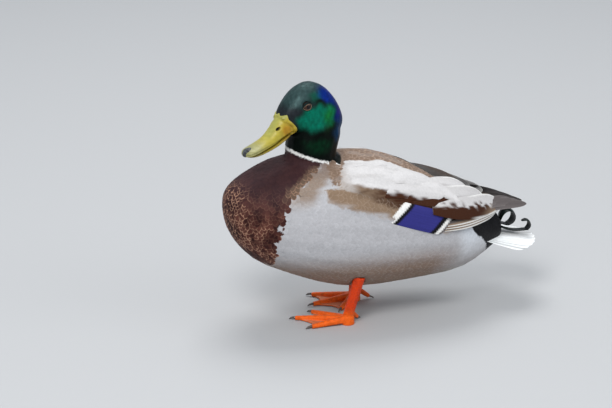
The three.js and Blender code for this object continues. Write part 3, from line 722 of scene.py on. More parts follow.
class Surface:
    """The skin as a surface to lay feathers on."""

    def __init__(self, skin):
        mesh = skin.data
        self.points = mesh_points(mesh)
        mesh.calc_loop_triangles()
        corners = np.empty(len(mesh.loop_triangles) * 3, np.int32)
        mesh.loop_triangles.foreach_get("vertices", corners)
        self.corners = corners.reshape(-1, 3)
        loops = np.empty(len(mesh.loop_triangles) * 3, np.int32)
        mesh.loop_triangles.foreach_get("loops", loops)
        self.loops = loops.reshape(-1, 3)
        self.normals = unit(mesh_normals(mesh).astype(float))
        self.tree = BVHTree.FromPolygons(self.points.tolist(), self.corners.tolist())
        self.face_normals = unit(self.normals[self.corners].mean(1))
        layer = mesh.uv_layers.active.data
        flat = np.empty(len(layer) * 2, np.float32)
        layer.foreach_get("uv", flat)
        self.flat = flat.reshape(-1, 2)

    def nearest(self, points):
        """Closest skin points and the mean normals of their faces."""
        find = self.tree.find_nearest
        found = [find(p) for p in points.tolist()]
        places = np.array([f[0] for f in found])
        return places, self.face_normals[[f[2] for f in found]]

    def side_hit(self, x, z, side):
        """Skin point and normal straight in from the left (-1) or right (1), x and z in metres."""
        hit = self.tree.ray_cast(Vector((x, side * 0.2, z)), Vector((0, -side, 0)))
        return np.array(hit[0]), self.face_normals[hit[2]]

    def scatter(self, count, seed):
        """Random points all over, with normals and places on the skin's own unwrap."""
        draw = np.random.RandomState(seed)
        a, b, c = (self.points[self.corners[:, i]] for i in range(3))
        areas = np.linalg.norm(np.cross(b - a, c - a), axis=1)
        chosen = draw.choice(len(areas), count, p=areas / areas.sum())
        weights = draw.dirichlet((1, 1, 1), count)
        points = (self.points[self.corners[chosen]] * weights[..., None]).sum(1)
        normals = unit((self.normals[self.corners[chosen]] * weights[..., None]).sum(1))
        flat = (self.flat[self.loops[chosen]] * weights[..., None]).sum(1)
        return points, normals, flat


def spaced(points, spacing):
    """Indices of points that keep their own spacing, the first ones winning."""
    cell = spacing.max()
    grid, kept = {}, []
    keys = np.floor(points / cell).astype(int)
    steps = [(i, j, k) for i in (-1, 0, 1) for j in (-1, 0, 1) for k in (-1, 0, 1)]
    for index, (key, point, room) in enumerate(zip(keys.tolist(), points.tolist(), spacing.tolist())):
        a, b, c = key
        px, py, pz = point
        limit = room * room
        clear = True
        for i, j, k in steps:
            for x, y, z in grid.get((a + i, b + j, c + k), ()):
                if (x - px) ** 2 + (y - py) ** 2 + (z - pz) ** 2 < limit:
                    clear = False
                    break
            if not clear:
                break
        if clear:
            grid.setdefault((a, b, c), []).append((px, py, pz))
            kept.append(index)
    return np.array(kept)


def lie(points, normals, region):
    """Direction in which the feathers lie at points of the skin."""
    p = points / MM
    x, y, z = p.T
    back, out, height = in_head(points)
    flow = np.zeros((len(p), 3))
    flow[:, 0] = 1
    flow[:, 2] = -0.12

    def turn(chosen, direction):
        """Lets the chosen feathers lie another way."""
        flow[chosen] = np.broadcast_to(direction, flow.shape)[chosen]

    away = np.stack([(x + 92) / 45, y / 45, np.full(len(p), -0.75)], 1)
    above = (ramp(z, 104, 146) * ramp(-x, 66, 104))[:, None]
    chest = np.array((1, 0, -0.16)) * (1 - above) + (away + np.array((0.35, 0, 0))) * above
    turn(region == KIND["breast"], chest)
    ones = np.ones(len(p))
    slope = 0.12 + 0.45 * ramp(x, -20, 60)
    turn(region == KIND["scapular"], np.stack([ones, 0 * x, -slope], 1))
    turn(region == KIND["mantle"], np.stack([ones, 0.002 * y, -slope], 1))
    turn(among(region, "covert", "wing"), (1, 0, -0.42))
    turn(region == KIND["flank"], np.stack([ones, 0 * x, 0.1 - 0.25 * ramp(x, 20, 100)], 1))
    turn(region == KIND["belly"], (1, 0, 0))
    turn(region == KIND["rump"], (1, 0, -0.65))
    turn(region == KIND["undertail"], (1, 0, 0.25))
    turn(region == KIND["thigh"], (0.3, 0, -1))
    down = np.clip(ramp(back, 50, 76) + ramp(222 - height, 0, 16), 0, 1)
    behind = -FORWARD * (1.1 - down)[:, None]
    behind[:, 2] = -down - 0.15 * ramp(np.abs(out), 8, 22)
    turn(among(region, "head", "collar", "neck"), behind)
    along = flow - (flow * normals).sum(1)[:, None] * normals
    return unit(along)


class Plumage:
    """Many vanes gathered into one mesh."""

    def __init__(self):
        self.parts = {"points": [], "faces": [], "flat": [], "tint": [], "edge": [], "vane": [], "marks": []}
        self.count = 0

    def add(self, centres, lefts, rights, normals, shape, ring, thickness, look, flat, patch=PATCH):
        """Adds n vanes, each with s stations: arrays of shape (n, s, 3), look per vane or per station."""
        n, s = centres.shape[:2]
        r = len(ring)
        t = ring[:, 0]
        curve = ((rights + lefts) / 2 - centres)[:, :, None] * (t ** 2)[:, None]
        slant = ((rights - lefts) / 2)[:, :, None] * t[:, None]
        thin = (1 - 0.6 * shape[:, 0])[None, :, None] * ring[:, 1] * thickness
        points = centres[:, :, None] + slant + curve + normals[:, :, None] * thin[..., None]
        base = np.arange(n)[:, None, None] * s * r + np.arange(s - 1)[None, :, None] * r
        here, after = np.arange(r), (np.arange(r) + 1) % r
        quads = np.stack([base + here, base + after, base + after + r, base + here + r], -1).reshape(-1, 4)
        v = np.broadcast_to(shape[:, 0][:, None], (s, r))
        turn_u = np.append(ring[:, 2], 1)
        loop_u = np.stack([turn_u[:-1], turn_u[1:], turn_u[1:], turn_u[:-1]], -1)
        loop_v = np.stack([v[:-1], v[:-1], v[1:], v[1:]], -1)
        places = np.stack(np.broadcast_arrays(loop_u[None], loop_v), -1)
        offsets = (places - 0.5) * patch
        tile = flat[:, None, None, None, :] + offsets[None]
        self.parts["faces"].append((quads + self.count).astype(np.int64))
        self.parts["points"].append(points.reshape(-1, 3))
        self.parts["flat"].append(tile.reshape(-1, 2))
        ends = self.close_ends(n, s, r)
        self.parts["faces"].append(ends + self.count)
        tips = np.broadcast_to(flat[:, None, None], (n, len(ends) // n, 4, 2))
        self.parts["flat"].append(tips.reshape(-1, 2))
        tint, edge, scale, marks = look(points) if callable(look) else look
        full = (n, s, r)

        def spread(values, width):
            """The same number of values for every point."""
            values = np.asarray(values, float)
            return np.broadcast_to(values, full + (width,)).reshape(-1, width)

        self.parts["tint"].append(spread(tint, 3))
        self.parts["edge"].append(spread(edge, 3))
        self.parts["marks"].append(spread(marks, 3))
        vane = np.empty(full + (3,))
        vane[..., 0] = t
        vane[..., 1] = v
        vane[..., 2] = np.broadcast_to(np.asarray(scale, float).reshape(-1, 1, 1), full)
        self.parts["vane"].append(vane.reshape(-1, 3))
        self.count += n * s * r

    @staticmethod
    def close_ends(n, s, r):
        """Quads that close the root and the tip of each vane, for rings of an even number of points."""
        tip = [[k, k + 1, r - k - 2, r - k - 1] for k in range(r // 2 - 1)]
        root = [quad[::-1] for quad in tip]
        cap = np.concatenate([np.array(root), np.array(tip) + (s - 1) * r])
        return (np.arange(n)[:, None, None] * s * r + cap).reshape(-1, 4)

    def finish(self, name, material):
        """The mesh object of all the vanes."""
        parts = {key: np.concatenate(rows) for key, rows in self.parts.items()}
        made = build_object(name.replace(" ", "_"), parts["points"], parts["faces"], material)
        mesh = made.data
        for key, kind in (("tint", "FLOAT_COLOR"), ("edge", "FLOAT_COLOR"), ("vane", "FLOAT_VECTOR"),
                          ("marks", "FLOAT_VECTOR")):
            set_values(mesh, key, kind, parts[key])
        layer = mesh.uv_layers.new(name="OFBake")
        layer.data.foreach_set("uv", parts["flat"].astype(np.float32).ravel())
        mesh.set_sharp_from_angle(angle=math.radians(75))
        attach(made, "root")
        return made


def grow(surface, plumage, roots, normals, directions, flat, sizes, shape, ring, draw, follow, body_only):
    """Lays vanes on the skin from their roots and adds them to the plumage.

    follow is 1 where each point of a feather takes the markings of its own place, and less where the feather
    takes those of its middle.
    """
    length, width, rise, thickness = sizes
    n, s = len(roots), len(shape)
    centres, ups, sides = np.empty((n, s, 3)), np.empty((n, s, 3)), np.empty((n, s, 3))
    point, up, ahead = roots, normals, directions
    last = 0
    for k, (u, _) in enumerate(shape):
        if u > last:
            point, up = surface.nearest(point + ahead * (length * (u - last))[:, None])
            ahead = unit(ahead - (ahead * up).sum(1)[:, None] * up)
        centres[:, k], ups[:, k], sides[:, k] = point, up, np.cross(up, ahead)
        last = u
    half = (width / 2)[:, None, None] * shape[:, 1][None, :, None]
    edges = []
    for sign in (1, -1):
        flat_edge = centres + sign * sides * half
        found, _ = surface.nearest(flat_edge.reshape(-1, 3))
        edges.append(flat_edge * 0.25 + found.reshape(n, s, 3) * 0.75)
    share = shape[:, 0][None, :, None]
    lift = ups * rise[:, None, None] * (share ** 0.8 - 0.12 - 0.2 * share ** 8)
    sag = ups * (0.1 * rise)[:, None, None] * shape[:, 1][None, :, None]
    centres = centres + lift
    lefts, rights = edges[0] + lift - sag, edges[1] + lift - sag
    chance = draw.rand(n)
    shade = 1 + 0.07 * (draw.rand(n) - 0.5)
    middle = centres[:, int(s * 0.7)]

    def look(places):
        """Markings of every point of every vane."""
        r = places.shape[2]
        seen = middle[:, None, None] * (1 - follow) + places * follow
        tint, edge, fringe, bars = markings(seen.reshape(-1, 3), body_only)
        full = (n, s, r)
        own = np.broadcast_to(chance[:, None, None], full)
        marks = np.stack([fringe.reshape(full), bars.reshape(full), own], -1)
        tint = tint.reshape(full + (3,)) * shade[:, None, None, None]
        return tint, edge.reshape(full + (3,)), length / MM, marks

    plumage.add(centres, lefts, rights, ups, shape, ring, thickness, look, flat)


# ---------------------------------------------------------------- pieces

def make_skin():
    """One skin in place of all the nodes of flesh."""
    skin = joined_copy("Skin", FLESH, 0.4 * MM)
    remeshed(skin, VOXEL["skin"], 8)
    on_head = ramp(mesh_points(skin.data)[:, 2] / MM, 185, 205)
    size = bpy.context.scene.mallard_sizes
    inset(skin, size.skin_depth + (size.face_depth - size.skin_depth) * on_head)
    bpy.context.view_layer.objects.active = skin
    skin.select_set(True)
    bpy.ops.object.mode_set(mode="EDIT")
    bpy.ops.mesh.select_all(action="SELECT")
    bpy.ops.uv.smart_project(angle_limit=math.radians(66), island_margin=0.004)
    bpy.ops.object.mode_set(mode="OBJECT")
    skin.select_set(False)
    skin.data.uv_layers.active.name = "OFBake"
    set_values(skin.data, "tint", "FLOAT_COLOR", markings(mesh_points(skin.data))[0] * UNDER_SHADE)
    made, tree, surface = new_material("Skin under the feathers", Roughness=0.8, Specular_IOR_Level=0.1)
    feed(tree, surface, "Base Color", attribute(tree, "tint", "Color"))
    down = noise(tree, position(tree), 900.0, 3.0)
    feed(tree, surface, "Normal", bump(tree, down, 0.5, 0.0004))
    cover(skin, made)
    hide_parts(*FLESH)
    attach(skin, "root")


COATS = {
    "Head feathers": (("head",), "head_feathers"),
    "Neck feathers": (("neck", "collar"), "collar_feathers"),
    "Breast feathers": (("breast",), "breast_feathers"),
    "Back feathers": (("mantle",), "mantle_feathers"),
    "Scapular feathers": (("scapular",), "scapular_feathers"),
    "Wing coverts": (("covert",), "covert_feathers"),
    "Left flank": (("flank", "thigh"), "belly_feathers"),
    "Right flank": (("flank", "thigh"), "belly_feathers"),
    "Belly feathers": (("belly",), "belly_feathers"),
    "Rump feathers": (("rump", "undertail"), "black_feathers"),
}
NECK_TOP = 214     # height in mm
FINE = ("Head feathers", "Neck feathers")


def feathered(points):
    """True where feathers grow rather than bill or eye."""
    back, out, height = in_head(points)
    eyes = np.min([np.linalg.norm(points - e, axis=1) for e in EYES], axis=0)
    return (height < 200) | ((bill_zone(back, out, height) < 0.5) & (eyes > 5.2 * MM))


def feather_sizes(points, kind):
    """Length, width, spacing and rise of the feather that grows at each point, in metres."""
    back, out, height = in_head(points)
    sizes = np.array([SIZES[name] for name in KIND])[kind] * MM
    on_neck = kind == KIND["neck"]
    upper = (ramp(height, NECK_TOP - 12, NECK_TOP) * on_neck)[:, None]
    sizes = sizes * (1 - upper) + np.array(SIZES["head"]) * MM * upper
    above = height - collar_height(points[:, 0] / MM)
    sizes = sizes * (1 - 0.3 * (ramp(10 - above, 0, 6) * on_neck)[:, None])
    face = (ramp(26 - back, 0, 20) * (kind == KIND["head"]))[:, None]
    sizes = sizes * (1 - 0.4 * face)
    by_neck = ramp(20 + above, 0, 14) * ramp(56 - np.hypot(back - NECK_AXIS, out), 0, 14)
    large = among(kind, "breast", "mantle", "scapular") & (points[:, 2] > 150 * MM)
    wanted = np.array(SIZES["neck"]) * MM * 1.15
    return sizes + (wanted - sizes) * (0.85 * by_neck * large)[:, None]


def clear_of_wing(points, directions, lengths):
    """Lengths cut short where a feather would reach over the bars of the wing."""
    lengths = lengths.copy()
    wing = KIND["wing"]
    for _ in range(4):
        tips = points + directions * (lengths * 0.9)[:, None]
        bar, _ = wing_axes(tips[:, 0] / MM, tips[:, 2] / MM)
        over = (regions_of(tips, True) == wing) & (bar > -0.03)
        lengths[over] *= 0.72
    return lengths


def make_coat():
    """Feathers all over the skin, in one piece for each part of the coat."""
    surface = Surface(bpy.data.objects["Skin"])
    draw = np.random.RandomState(21)
    for count, seed, fine in SCATTER:
        points, normals, flat = surface.scatter(count, seed)
        if fine:
            near = (points[:, 2] > 0.16) & (points[:, 0] < -0.04)
            points, normals, flat = points[near], normals[near], flat[near]
        kind = regions_of(points)
        usable = feathered(points) & (kind != KIND["wing"])
        usable &= among(kind, "head", "collar") == fine
        kind[(kind == KIND["head"]) & (points[:, 2] < NECK_TOP * MM)] = KIND["neck"]
        points, normals, flat, kind = points[usable], normals[usable], flat[usable], kind[usable]
        sizes = feather_sizes(points, kind)
        chosen = spaced(points, sizes[:, 2])
        points, normals, flat, kind, sizes = (rows[chosen] for rows in (points, normals, flat, kind, sizes))
        directions = lie(points, normals, kind)
        swing = np.radians(draw.normal(0, 4, len(points)))[:, None]
        directions = unit(directions * np.cos(swing) + np.cross(normals, directions) * np.sin(swing))
        sizes[:, :2] *= (0.9 + 0.2 * draw.rand(len(points)))[:, None]
        sizes[:, 3] *= 0.9 + 0.2 * draw.rand(len(points))
        if not fine:
            sizes[:, 0] = clear_of_wing(points, directions, sizes[:, 0])
        for name, (kinds, slot) in COATS.items():
            mine = among(kind, *kinds)
            if name.endswith("flank"):
                mine &= (points[:, 1] < 0) == (name == "Left flank")
            if (name in FINE) == fine and mine.any():
                rows = (points[mine], normals[mine], directions[mine], flat[mine], sizes[mine])
                dress(surface, name, slot, draw, *rows)


def dress(surface, name, slot, draw, points, normals, directions, flat, sizes):
    """One piece of the coat from its roots."""
    fine = name in FINE
    plumage = Plumage()
    shape, ring = (TINY_VANE, TINY_RING) if fine else (BODY_VANE, BODY_RING)
    if name == "Scapular feathers":
        shape = LONG_VANE
    follow = 0.3 if name in ("Breast feathers", "Back feathers") else 1.0
    thick = (0.04 if fine else 0.09) * MM
    grow(surface, plumage, points, normals, directions, flat, (*sizes[:, [0, 1, 3]].T, thick), shape, ring,
         draw, follow, not fine)
    if fine:
        material = plume_material(name, 0.38, 0.4, Metallic=0.3, Specular_IOR_Level=0.08)
    else:
        material = plume_material(name, 0.5 if name == "Rump feathers" else 0.66)
    plumage.finish(name, material)


# ---------------------------------------------------------------- long feathers

LONG_RING = np.array((
    (-1, 0, 0), (-0.8, 0.35, 0.08), (-0.5, 0.55, 0.2), (-0.2, 0.6, 0.32), (-0.05, 1.1, 0.38),
    (0.05, 1.1, 0.42), (0.2, 0.6, 0.48), (0.5, 0.55, 0.6), (0.8, 0.35, 0.72), (1, 0, 0.8),
    (0.8, -0.25, 0.82), (0.5, -0.4, 0.85), (0.2, -0.5, 0.88), (0.05, -0.5, 0.9), (-0.05, -0.5, 0.91),
    (-0.2, -0.5, 0.93), (-0.5, -0.4, 0.96), (-0.8, -0.25, 0.98)))
# Folded wing feathers, left side: root, bend, tip, width, lean in degrees.
TERTIALS = (((36, -62, 130.5), (90, -57, 123), (131, -20, 117), 26, 58),
            ((2, -60, 147), (72, -51, 139), (114, -17, 125), 26, 47),
            ((26, -46, 153), (66, -34, 150), (97, -13, 134), 24, 34))
TERTIAL_BROWN = (1, 1, 0.2)   # how much of their lower web is brown
PRIMARIES = (((52, -56, 114), (116, -34, 121), (173, -6, 104.5), 10.5, 50),
             ((50, -57, 117), (110, -36, 124.5), (162, -8, 109.5), 10.5, 46),
             ((48, -57, 120), (104, -38, 127.5), (151, -10, 114), 10.5, 42))
# Edges of the folded secondaries that show below the tertials.
WING_EDGES = (((50, -62, 111), (96, -56, 113), (138, -18, 112.5), 9, 56),
              ((50, -63, 108.5), (94, -57.5, 109.5), (133, -21, 110), 8, 58),
              ((50, -63, 106), (92, -58, 106.5), (127, -25, 107), 8, 60))
SOURCE_SHIFT = -1.56   # these places were set out before the model was centred


def curve_points(root, bend, tip, count):
    """Points, in metres, along a bent line given in mm, closer together near the tip."""
    t = (1 - (1 - np.linspace(0, 1, count)) ** 1.3)[:, None]
    root, bend, tip = (np.array(p, float) for p in (root, bend, tip))
    line = (1 - t) ** 2 * root + 2 * t * (1 - t) * bend + t ** 2 * tip
    line[:, 0] += SOURCE_SHIFT
    return line * MM, t[:, 0]


def long_feather(plumage, line, share, across, width, thickness, paint, flat, patch, point=0.25,
                 bow=0.1, root_width=0.62, scale=60.0, chance=0.5, marks=(0.0, 0.0)):
    """One large feather along a line of points.

    paint gives its tints and edge tints from the places across (-1 to 1) and along (0 to 1) the vane
    and from the points themselves in mm.
    """
    along = unit(np.gradient(line, axis=0))
    up = unit(np.cross(along, across))
    side = np.cross(along, up)
    to_tip = np.clip((1 - share) / point, 0, 1)
    body = root_width + (1 - root_width) * np.sin(np.clip(share * 2.2, 0, 1) * math.pi / 2)
    half = width / 2 * body * np.maximum(np.sqrt(1 - (1 - to_tip) ** 2), 0.1)
    centres = line[None]
    sag = up * (bow * half)[:, None]
    lefts = (line - side * half[:, None] - sag)[None]
    rights = (line + side * half[:, None] - sag)[None]
    shape = np.stack([share, half / half.max()], 1)
    u = np.broadcast_to(LONG_RING[:, 0], (len(line), len(LONG_RING)))
    v = np.broadcast_to(share[:, None], u.shape)
    places = line[:, None] + side[:, None] * (u * half[:, None])[..., None]
    tint, edge = paint(u, v, places / MM)
    fringe, bars = marks
    mark = np.stack([np.full(u.shape, fringe), np.full(u.shape, bars), np.full(u.shape, chance)], -1)
    look = (tint[None], edge[None], np.array([scale]), mark[None])
    plumage.add(centres, lefts, rights, up[None], shape, LONG_RING, thickness, look, np.array([flat]), patch)


# The speculum in side view: its lower front corner, its length and its height, x and z in mm.
BAR_START = np.array((-13.8, 127.3))
BAR_ALONG = np.array((59.1, -21.9))
BAR_RISE = np.array((17.5, 13.5))
SPECULUM_FEATHERS = 8


def wing_axes(x, z):
    """Share along (front to back) and up the speculum of points in side view, in mm."""
    solve = np.linalg.inv(np.stack([BAR_ALONG, BAR_RISE], 1))
    shares = (np.stack([x, z], -1) - BAR_START) @ solve.T
    return shares[..., 0], shares[..., 1]


def speculum_colour(c, share):
    """Bars across the folded secondaries: white, black, violet-blue, black, white."""
    colour = blend(c.white, c.black, ramp(share, 0.05, 0.065))
    colour = blend(colour, c.speculum, ramp(share, 0.125, 0.15))
    colour = blend(colour, c.black, ramp(share, 0.80, 0.815))
    colour = blend(colour, c.white, ramp(share, 0.90, 0.91))
    colour = blend(colour, c.quill, ramp(share, 0.975, 0.985))
    return blend(c.covert, colour, ramp(share, -0.075, -0.055))


def make_speculum(surface, plumage, side):
    """Folded secondaries with the bars of the speculum."""
    c = colours()
    count, stations = SPECULUM_FEATHERS, 56
    draw = np.random.RandomState(50 + side)
    for k in range(count):
        level = 0.9 * (k / (count - 1)) - 0.04
        share = np.linspace(0, 1, stations)
        reach = -0.3 + share * (1.31 + 0.01 * draw.rand())
        x, z = (BAR_START[i] + BAR_ALONG[i] * reach + BAR_RISE[i] * level for i in (0, 1))
        found = [surface.side_hit(a * MM, b * MM, side) for a, b in zip(x, z)]
        line = np.array([p for p, _ in found])
        normals = unit(np.array([n for _, n in found]).mean(0) + 0 * line)
        emerge = ramp(reach, -0.16, 0.0)
        line = line + normals * ((-1.0 + (1.5 + 0.13 * k) * emerge + 0.4 * share) * MM)[:, None]
        line[:, 1] = np.convolve(np.pad(line[:, 1], 4, "edge"), np.ones(9) / 9, "valid")
        along = unit(np.gradient(line, axis=0))
        across = unit(np.cross(normals, along))

        def paint(u, v, places):
            """Bars of the secondaries, their webs darker at the edge with painted shade."""
            bar, _ = wing_axes(places[..., 0], places[..., 2])
            tint = speculum_colour(c, bar)
            # Painted shade: each web darker along its edges, between the feathers.
            gloss = ramp(np.abs(u), 0.75, 1.0) * 0.25
            return blend(tint, tint * 0.6, gloss), tint

        flat = (0.06 + 0.11 * (k % 8), 0.1 + 0.11 * (k // 8) + (0.45 if side > 0 else 0))
        long_feather(plumage, line, share, across, 8.4 * MM, 0.22 * MM, paint, flat, 0.1, point=0.1,
                     bow=0.05, root_width=0.9, chance=draw.rand())


def mirrored(place, side):
    """A left-side place on either side."""
    x, y, z = place
    return x, -y * side, z


def wing_feather(plumage, spec, side, paint, flat, thickness=0.35, point=0.25, chance=0.5, marks=(0.0, 0.0)):
    """One feather of the folded wing from its root, bend, tip, width and lean."""
    root, bend, tip, width, lean = spec
    line, share = curve_points(*(mirrored(p, side) for p in (root, bend, tip)), 44)
    lean = math.radians(lean)
    across = np.broadcast_to(np.array((0.0, math.cos(lean), -side * math.sin(lean))), line.shape)
    long_feather(plumage, line, share, across, width * MM, thickness * MM, paint, flat, 0.12, point,
                 root_width=0.42, chance=chance, marks=marks)


def make_wing_tips(side):
    """Tertials, edges of the secondaries and primaries of one folded wing."""
    c = colours()
    lower = -side   # the sign of the lower edge across a vane
    draw = np.random.RandomState(70 + side)
    long = Plumage()
    for k, spec in enumerate(PRIMARIES):
        def paint(u, v, places):
            """Grey quill with a pale rim."""
            tint = blend(c.quill, c.quill * 1.7, ramp(u * lower, -0.2, 0.9) * 0.5)
            rim = ramp(np.abs(u), 0.88, 0.97)
            return blend(tint, c.quill_edge, rim * 0.5), c.quill_edge + 0 * tint

        wing_feather(long, spec, side, paint, (0.08 + 0.14 * k, 0.1), chance=draw.rand())
    for k, spec in enumerate(WING_EDGES):
        def paint(u, v, places):
            """Grey-brown web with a white lower edge."""
            tint = blend(c.quill, c.covert, ramp(u * lower, -0.4, 0.5))
            rim = ramp(u * lower, 0.62, 0.74)
            return blend(tint, c.white * 0.85, rim), c.white + 0 * tint

        wing_feather(long, spec, side, paint, (0.08 + 0.14 * k, 0.25), chance=draw.rand())
    name = "left" if side == LEFT else "right"
    quills = long.finish(f"Primaries {name}", plume_material(f"Flight feathers {name}", 0.5, 0.8))
    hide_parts(f"primaries_{name}")
    broad = Plumage()
    for k, spec in enumerate(TERTIALS):
        def paint(u, v, places):
            """Pale web, brown below and white at the tip."""
            low = u * lower
            tint = blend(c.scapular, c.scapular_grey, ramp(np.abs(u), 0.0, 0.9) * 0.3)
            ragged = 0.35 * ripple(places.reshape(-1, 3) * (0.4, 1, 1), 4, 71).reshape(u.shape)
            brown = ramp(low + 0.9 * (0.6 - v) + ragged, -0.3, 0.1) * (1 - ramp(v, 0.80, 0.93))
            brown = brown * (LONG_RING[:, 1] >= 0)
            warm = blend(c.rufous, c.covert, ramp(v + 0.2 * low, 0.74, 0.95) * 0.7)
            if k > 0:
                brown = brown * ramp(0.66 - v, 0, 0.2) * ramp(low, -0.3, 0.0)
            tint = blend(tint, warm, brown * TERTIAL_BROWN[k])
            rim = ramp(np.abs(u), 0.90, 0.97) * ramp(v, 0.45, 0.6)
            return blend(tint, c.white, np.clip(rim + ramp(v, 0.965, 0.985), 0, 1)), c.white + 0 * tint

        wing_feather(broad, spec, side, paint, (0.1 + 0.14 * k, 0.45), thickness=0.4, point=0.34,
                     chance=draw.rand(), marks=(0.0, 0.25))
    tertials = broad.finish(f"Tertials {name}", plume_material(f"Tertials {name}", 0.6, 0.9))
    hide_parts(f"tertials_{name}")


# Long shoulder feathers in side view: root x, z, tip x, z, width.
SHOULDER = ((4, 155, 71, 139.5, 18), (0, 166, 67, 144, 20), (-12, 173, 58, 153, 19),
            (-16, 153, 53, 140.5, 19), (-26, 168, 44, 156, 18), (-36, 157, 30, 146.5, 18))


def make_shoulder(surface, side, name):
    """Long shoulder feathers laid over the base of the tertials."""
    c = colours()
    draw = np.random.RandomState(90 + side)
    tertials = bpy.data.objects[f"Tertials_{name}"].data
    polygons = [tuple(polygon.vertices) for polygon in tertials.polygons]
    over = BVHTree.FromPolygons(mesh_points(tertials).tolist(), polygons)
    plumage = Plumage()
    for k, (x0, z0, x1, z1, width) in enumerate(SHOULDER):
        share = 1 - (1 - np.linspace(0, 1, 40)) ** 1.3
        x = x0 + (x1 - x0) * share
        z = z0 + (z1 - z0) * share + 3.0 * np.sin(share * math.pi)
        z = np.minimum(z, edge_at(SCAPULAR_TOP, x) - 4)
        line, normals = [], []
        for a, b in zip(x * MM, z * MM):
            ray = Vector((a, side * 0.2, b)), Vector((0, -side, 0))
            hits = [tree.ray_cast(*ray) for tree in (surface.tree, over)]
            hits = [(hit[0].y * side, hit[1]) for hit in hits if hit[0] is not None]
            if hits:
                outermost, normal = max(hits, key=lambda hit: hit[0])
                normals.append(normal)
            line.append((a, outermost * side, b))
        line = np.array(line)
        normals = unit(np.broadcast_to(np.mean(normals, 0), line.shape))
        smooth = np.convolve(np.pad(line[:, 1] * side, 8, "edge"), np.ones(17) / 17, "valid")
        line[:, 1] = side * (0.5 * smooth + 0.5 * np.maximum(smooth, line[:, 1] * side))
        lift = -2.4 + 3.0 * ramp(share, 0.0, 0.4) + 0.1 * k
        line += normals * (lift * MM)[:, None]
        along = unit(np.gradient(line, axis=0))
        across = unit(np.cross(normals, along))

        def paint(u, v, places):
            """Pale web, rufous where it reaches the brown band."""
            low = -u * side
            tint = blend(c.scapular, c.scapular_grey, ramp(low, 0.3, 1.0) * 0.3 + ramp(-low, 0.4, 1.0) * 0.2)
            p = places.reshape(-1, 3)
            below = edge_at(WHITE_FOOT, p[:, 0]) - p[:, 2] + 2 * ripple(p, 8, 9)
            tint = blend(tint, c.rufous, ramp(below, 0.5, 4).reshape(u.shape) * ramp(0.9 - v, 0, 0.3))
            return tint, c.white + 0 * tint

        flat = (0.08 + 0.11 * k, 0.8 if side > 0 else 0.65)
        long_feather(plumage, line, share, across, width * MM, 0.25 * MM, paint, flat, 0.1, point=0.42,
                     bow=0.14, root_width=0.4, chance=draw.rand(), marks=(0.0, 0.2))
    plumage.finish(f"Shoulder {name}", plume_material(f"Shoulder {name}", 0.66, 0.8))


def make_wings():
    """Speculum, flight feathers and long shoulder feathers of both wings."""
    surface = Surface(bpy.data.objects["Skin"])
    for side, name in ((LEFT, "left"), (-LEFT, "right")):
        make_wing_tips(side)
        make_shoulder(surface, side, name)
        plumage = Plumage()
        make_speculum(surface, plumage, side)
        plumage.finish(f"Speculum {name}", plume_material(f"Speculum {name}", 0.5, 0.6))


TAIL_PAIRS = 6
TAIL_SPREAD = 30    # degrees to either side
TAIL_WIDTH = 23
# Curled feathers: node, centre and radius of the curl, its first and last angle, the way to it, place across
# the body, width.
CURLS = (("tail_curl_1", (154, 88), 9.2, -95, 205, ((124, 97.5), (138, 85.5)), 4, 14),
         ("tail_curl_2", (170, 81), 6.4, -75, 130, ((126, 94), (142, 81.5), (157, 76)), -9.4, 10))
CURL_STEPS = 90


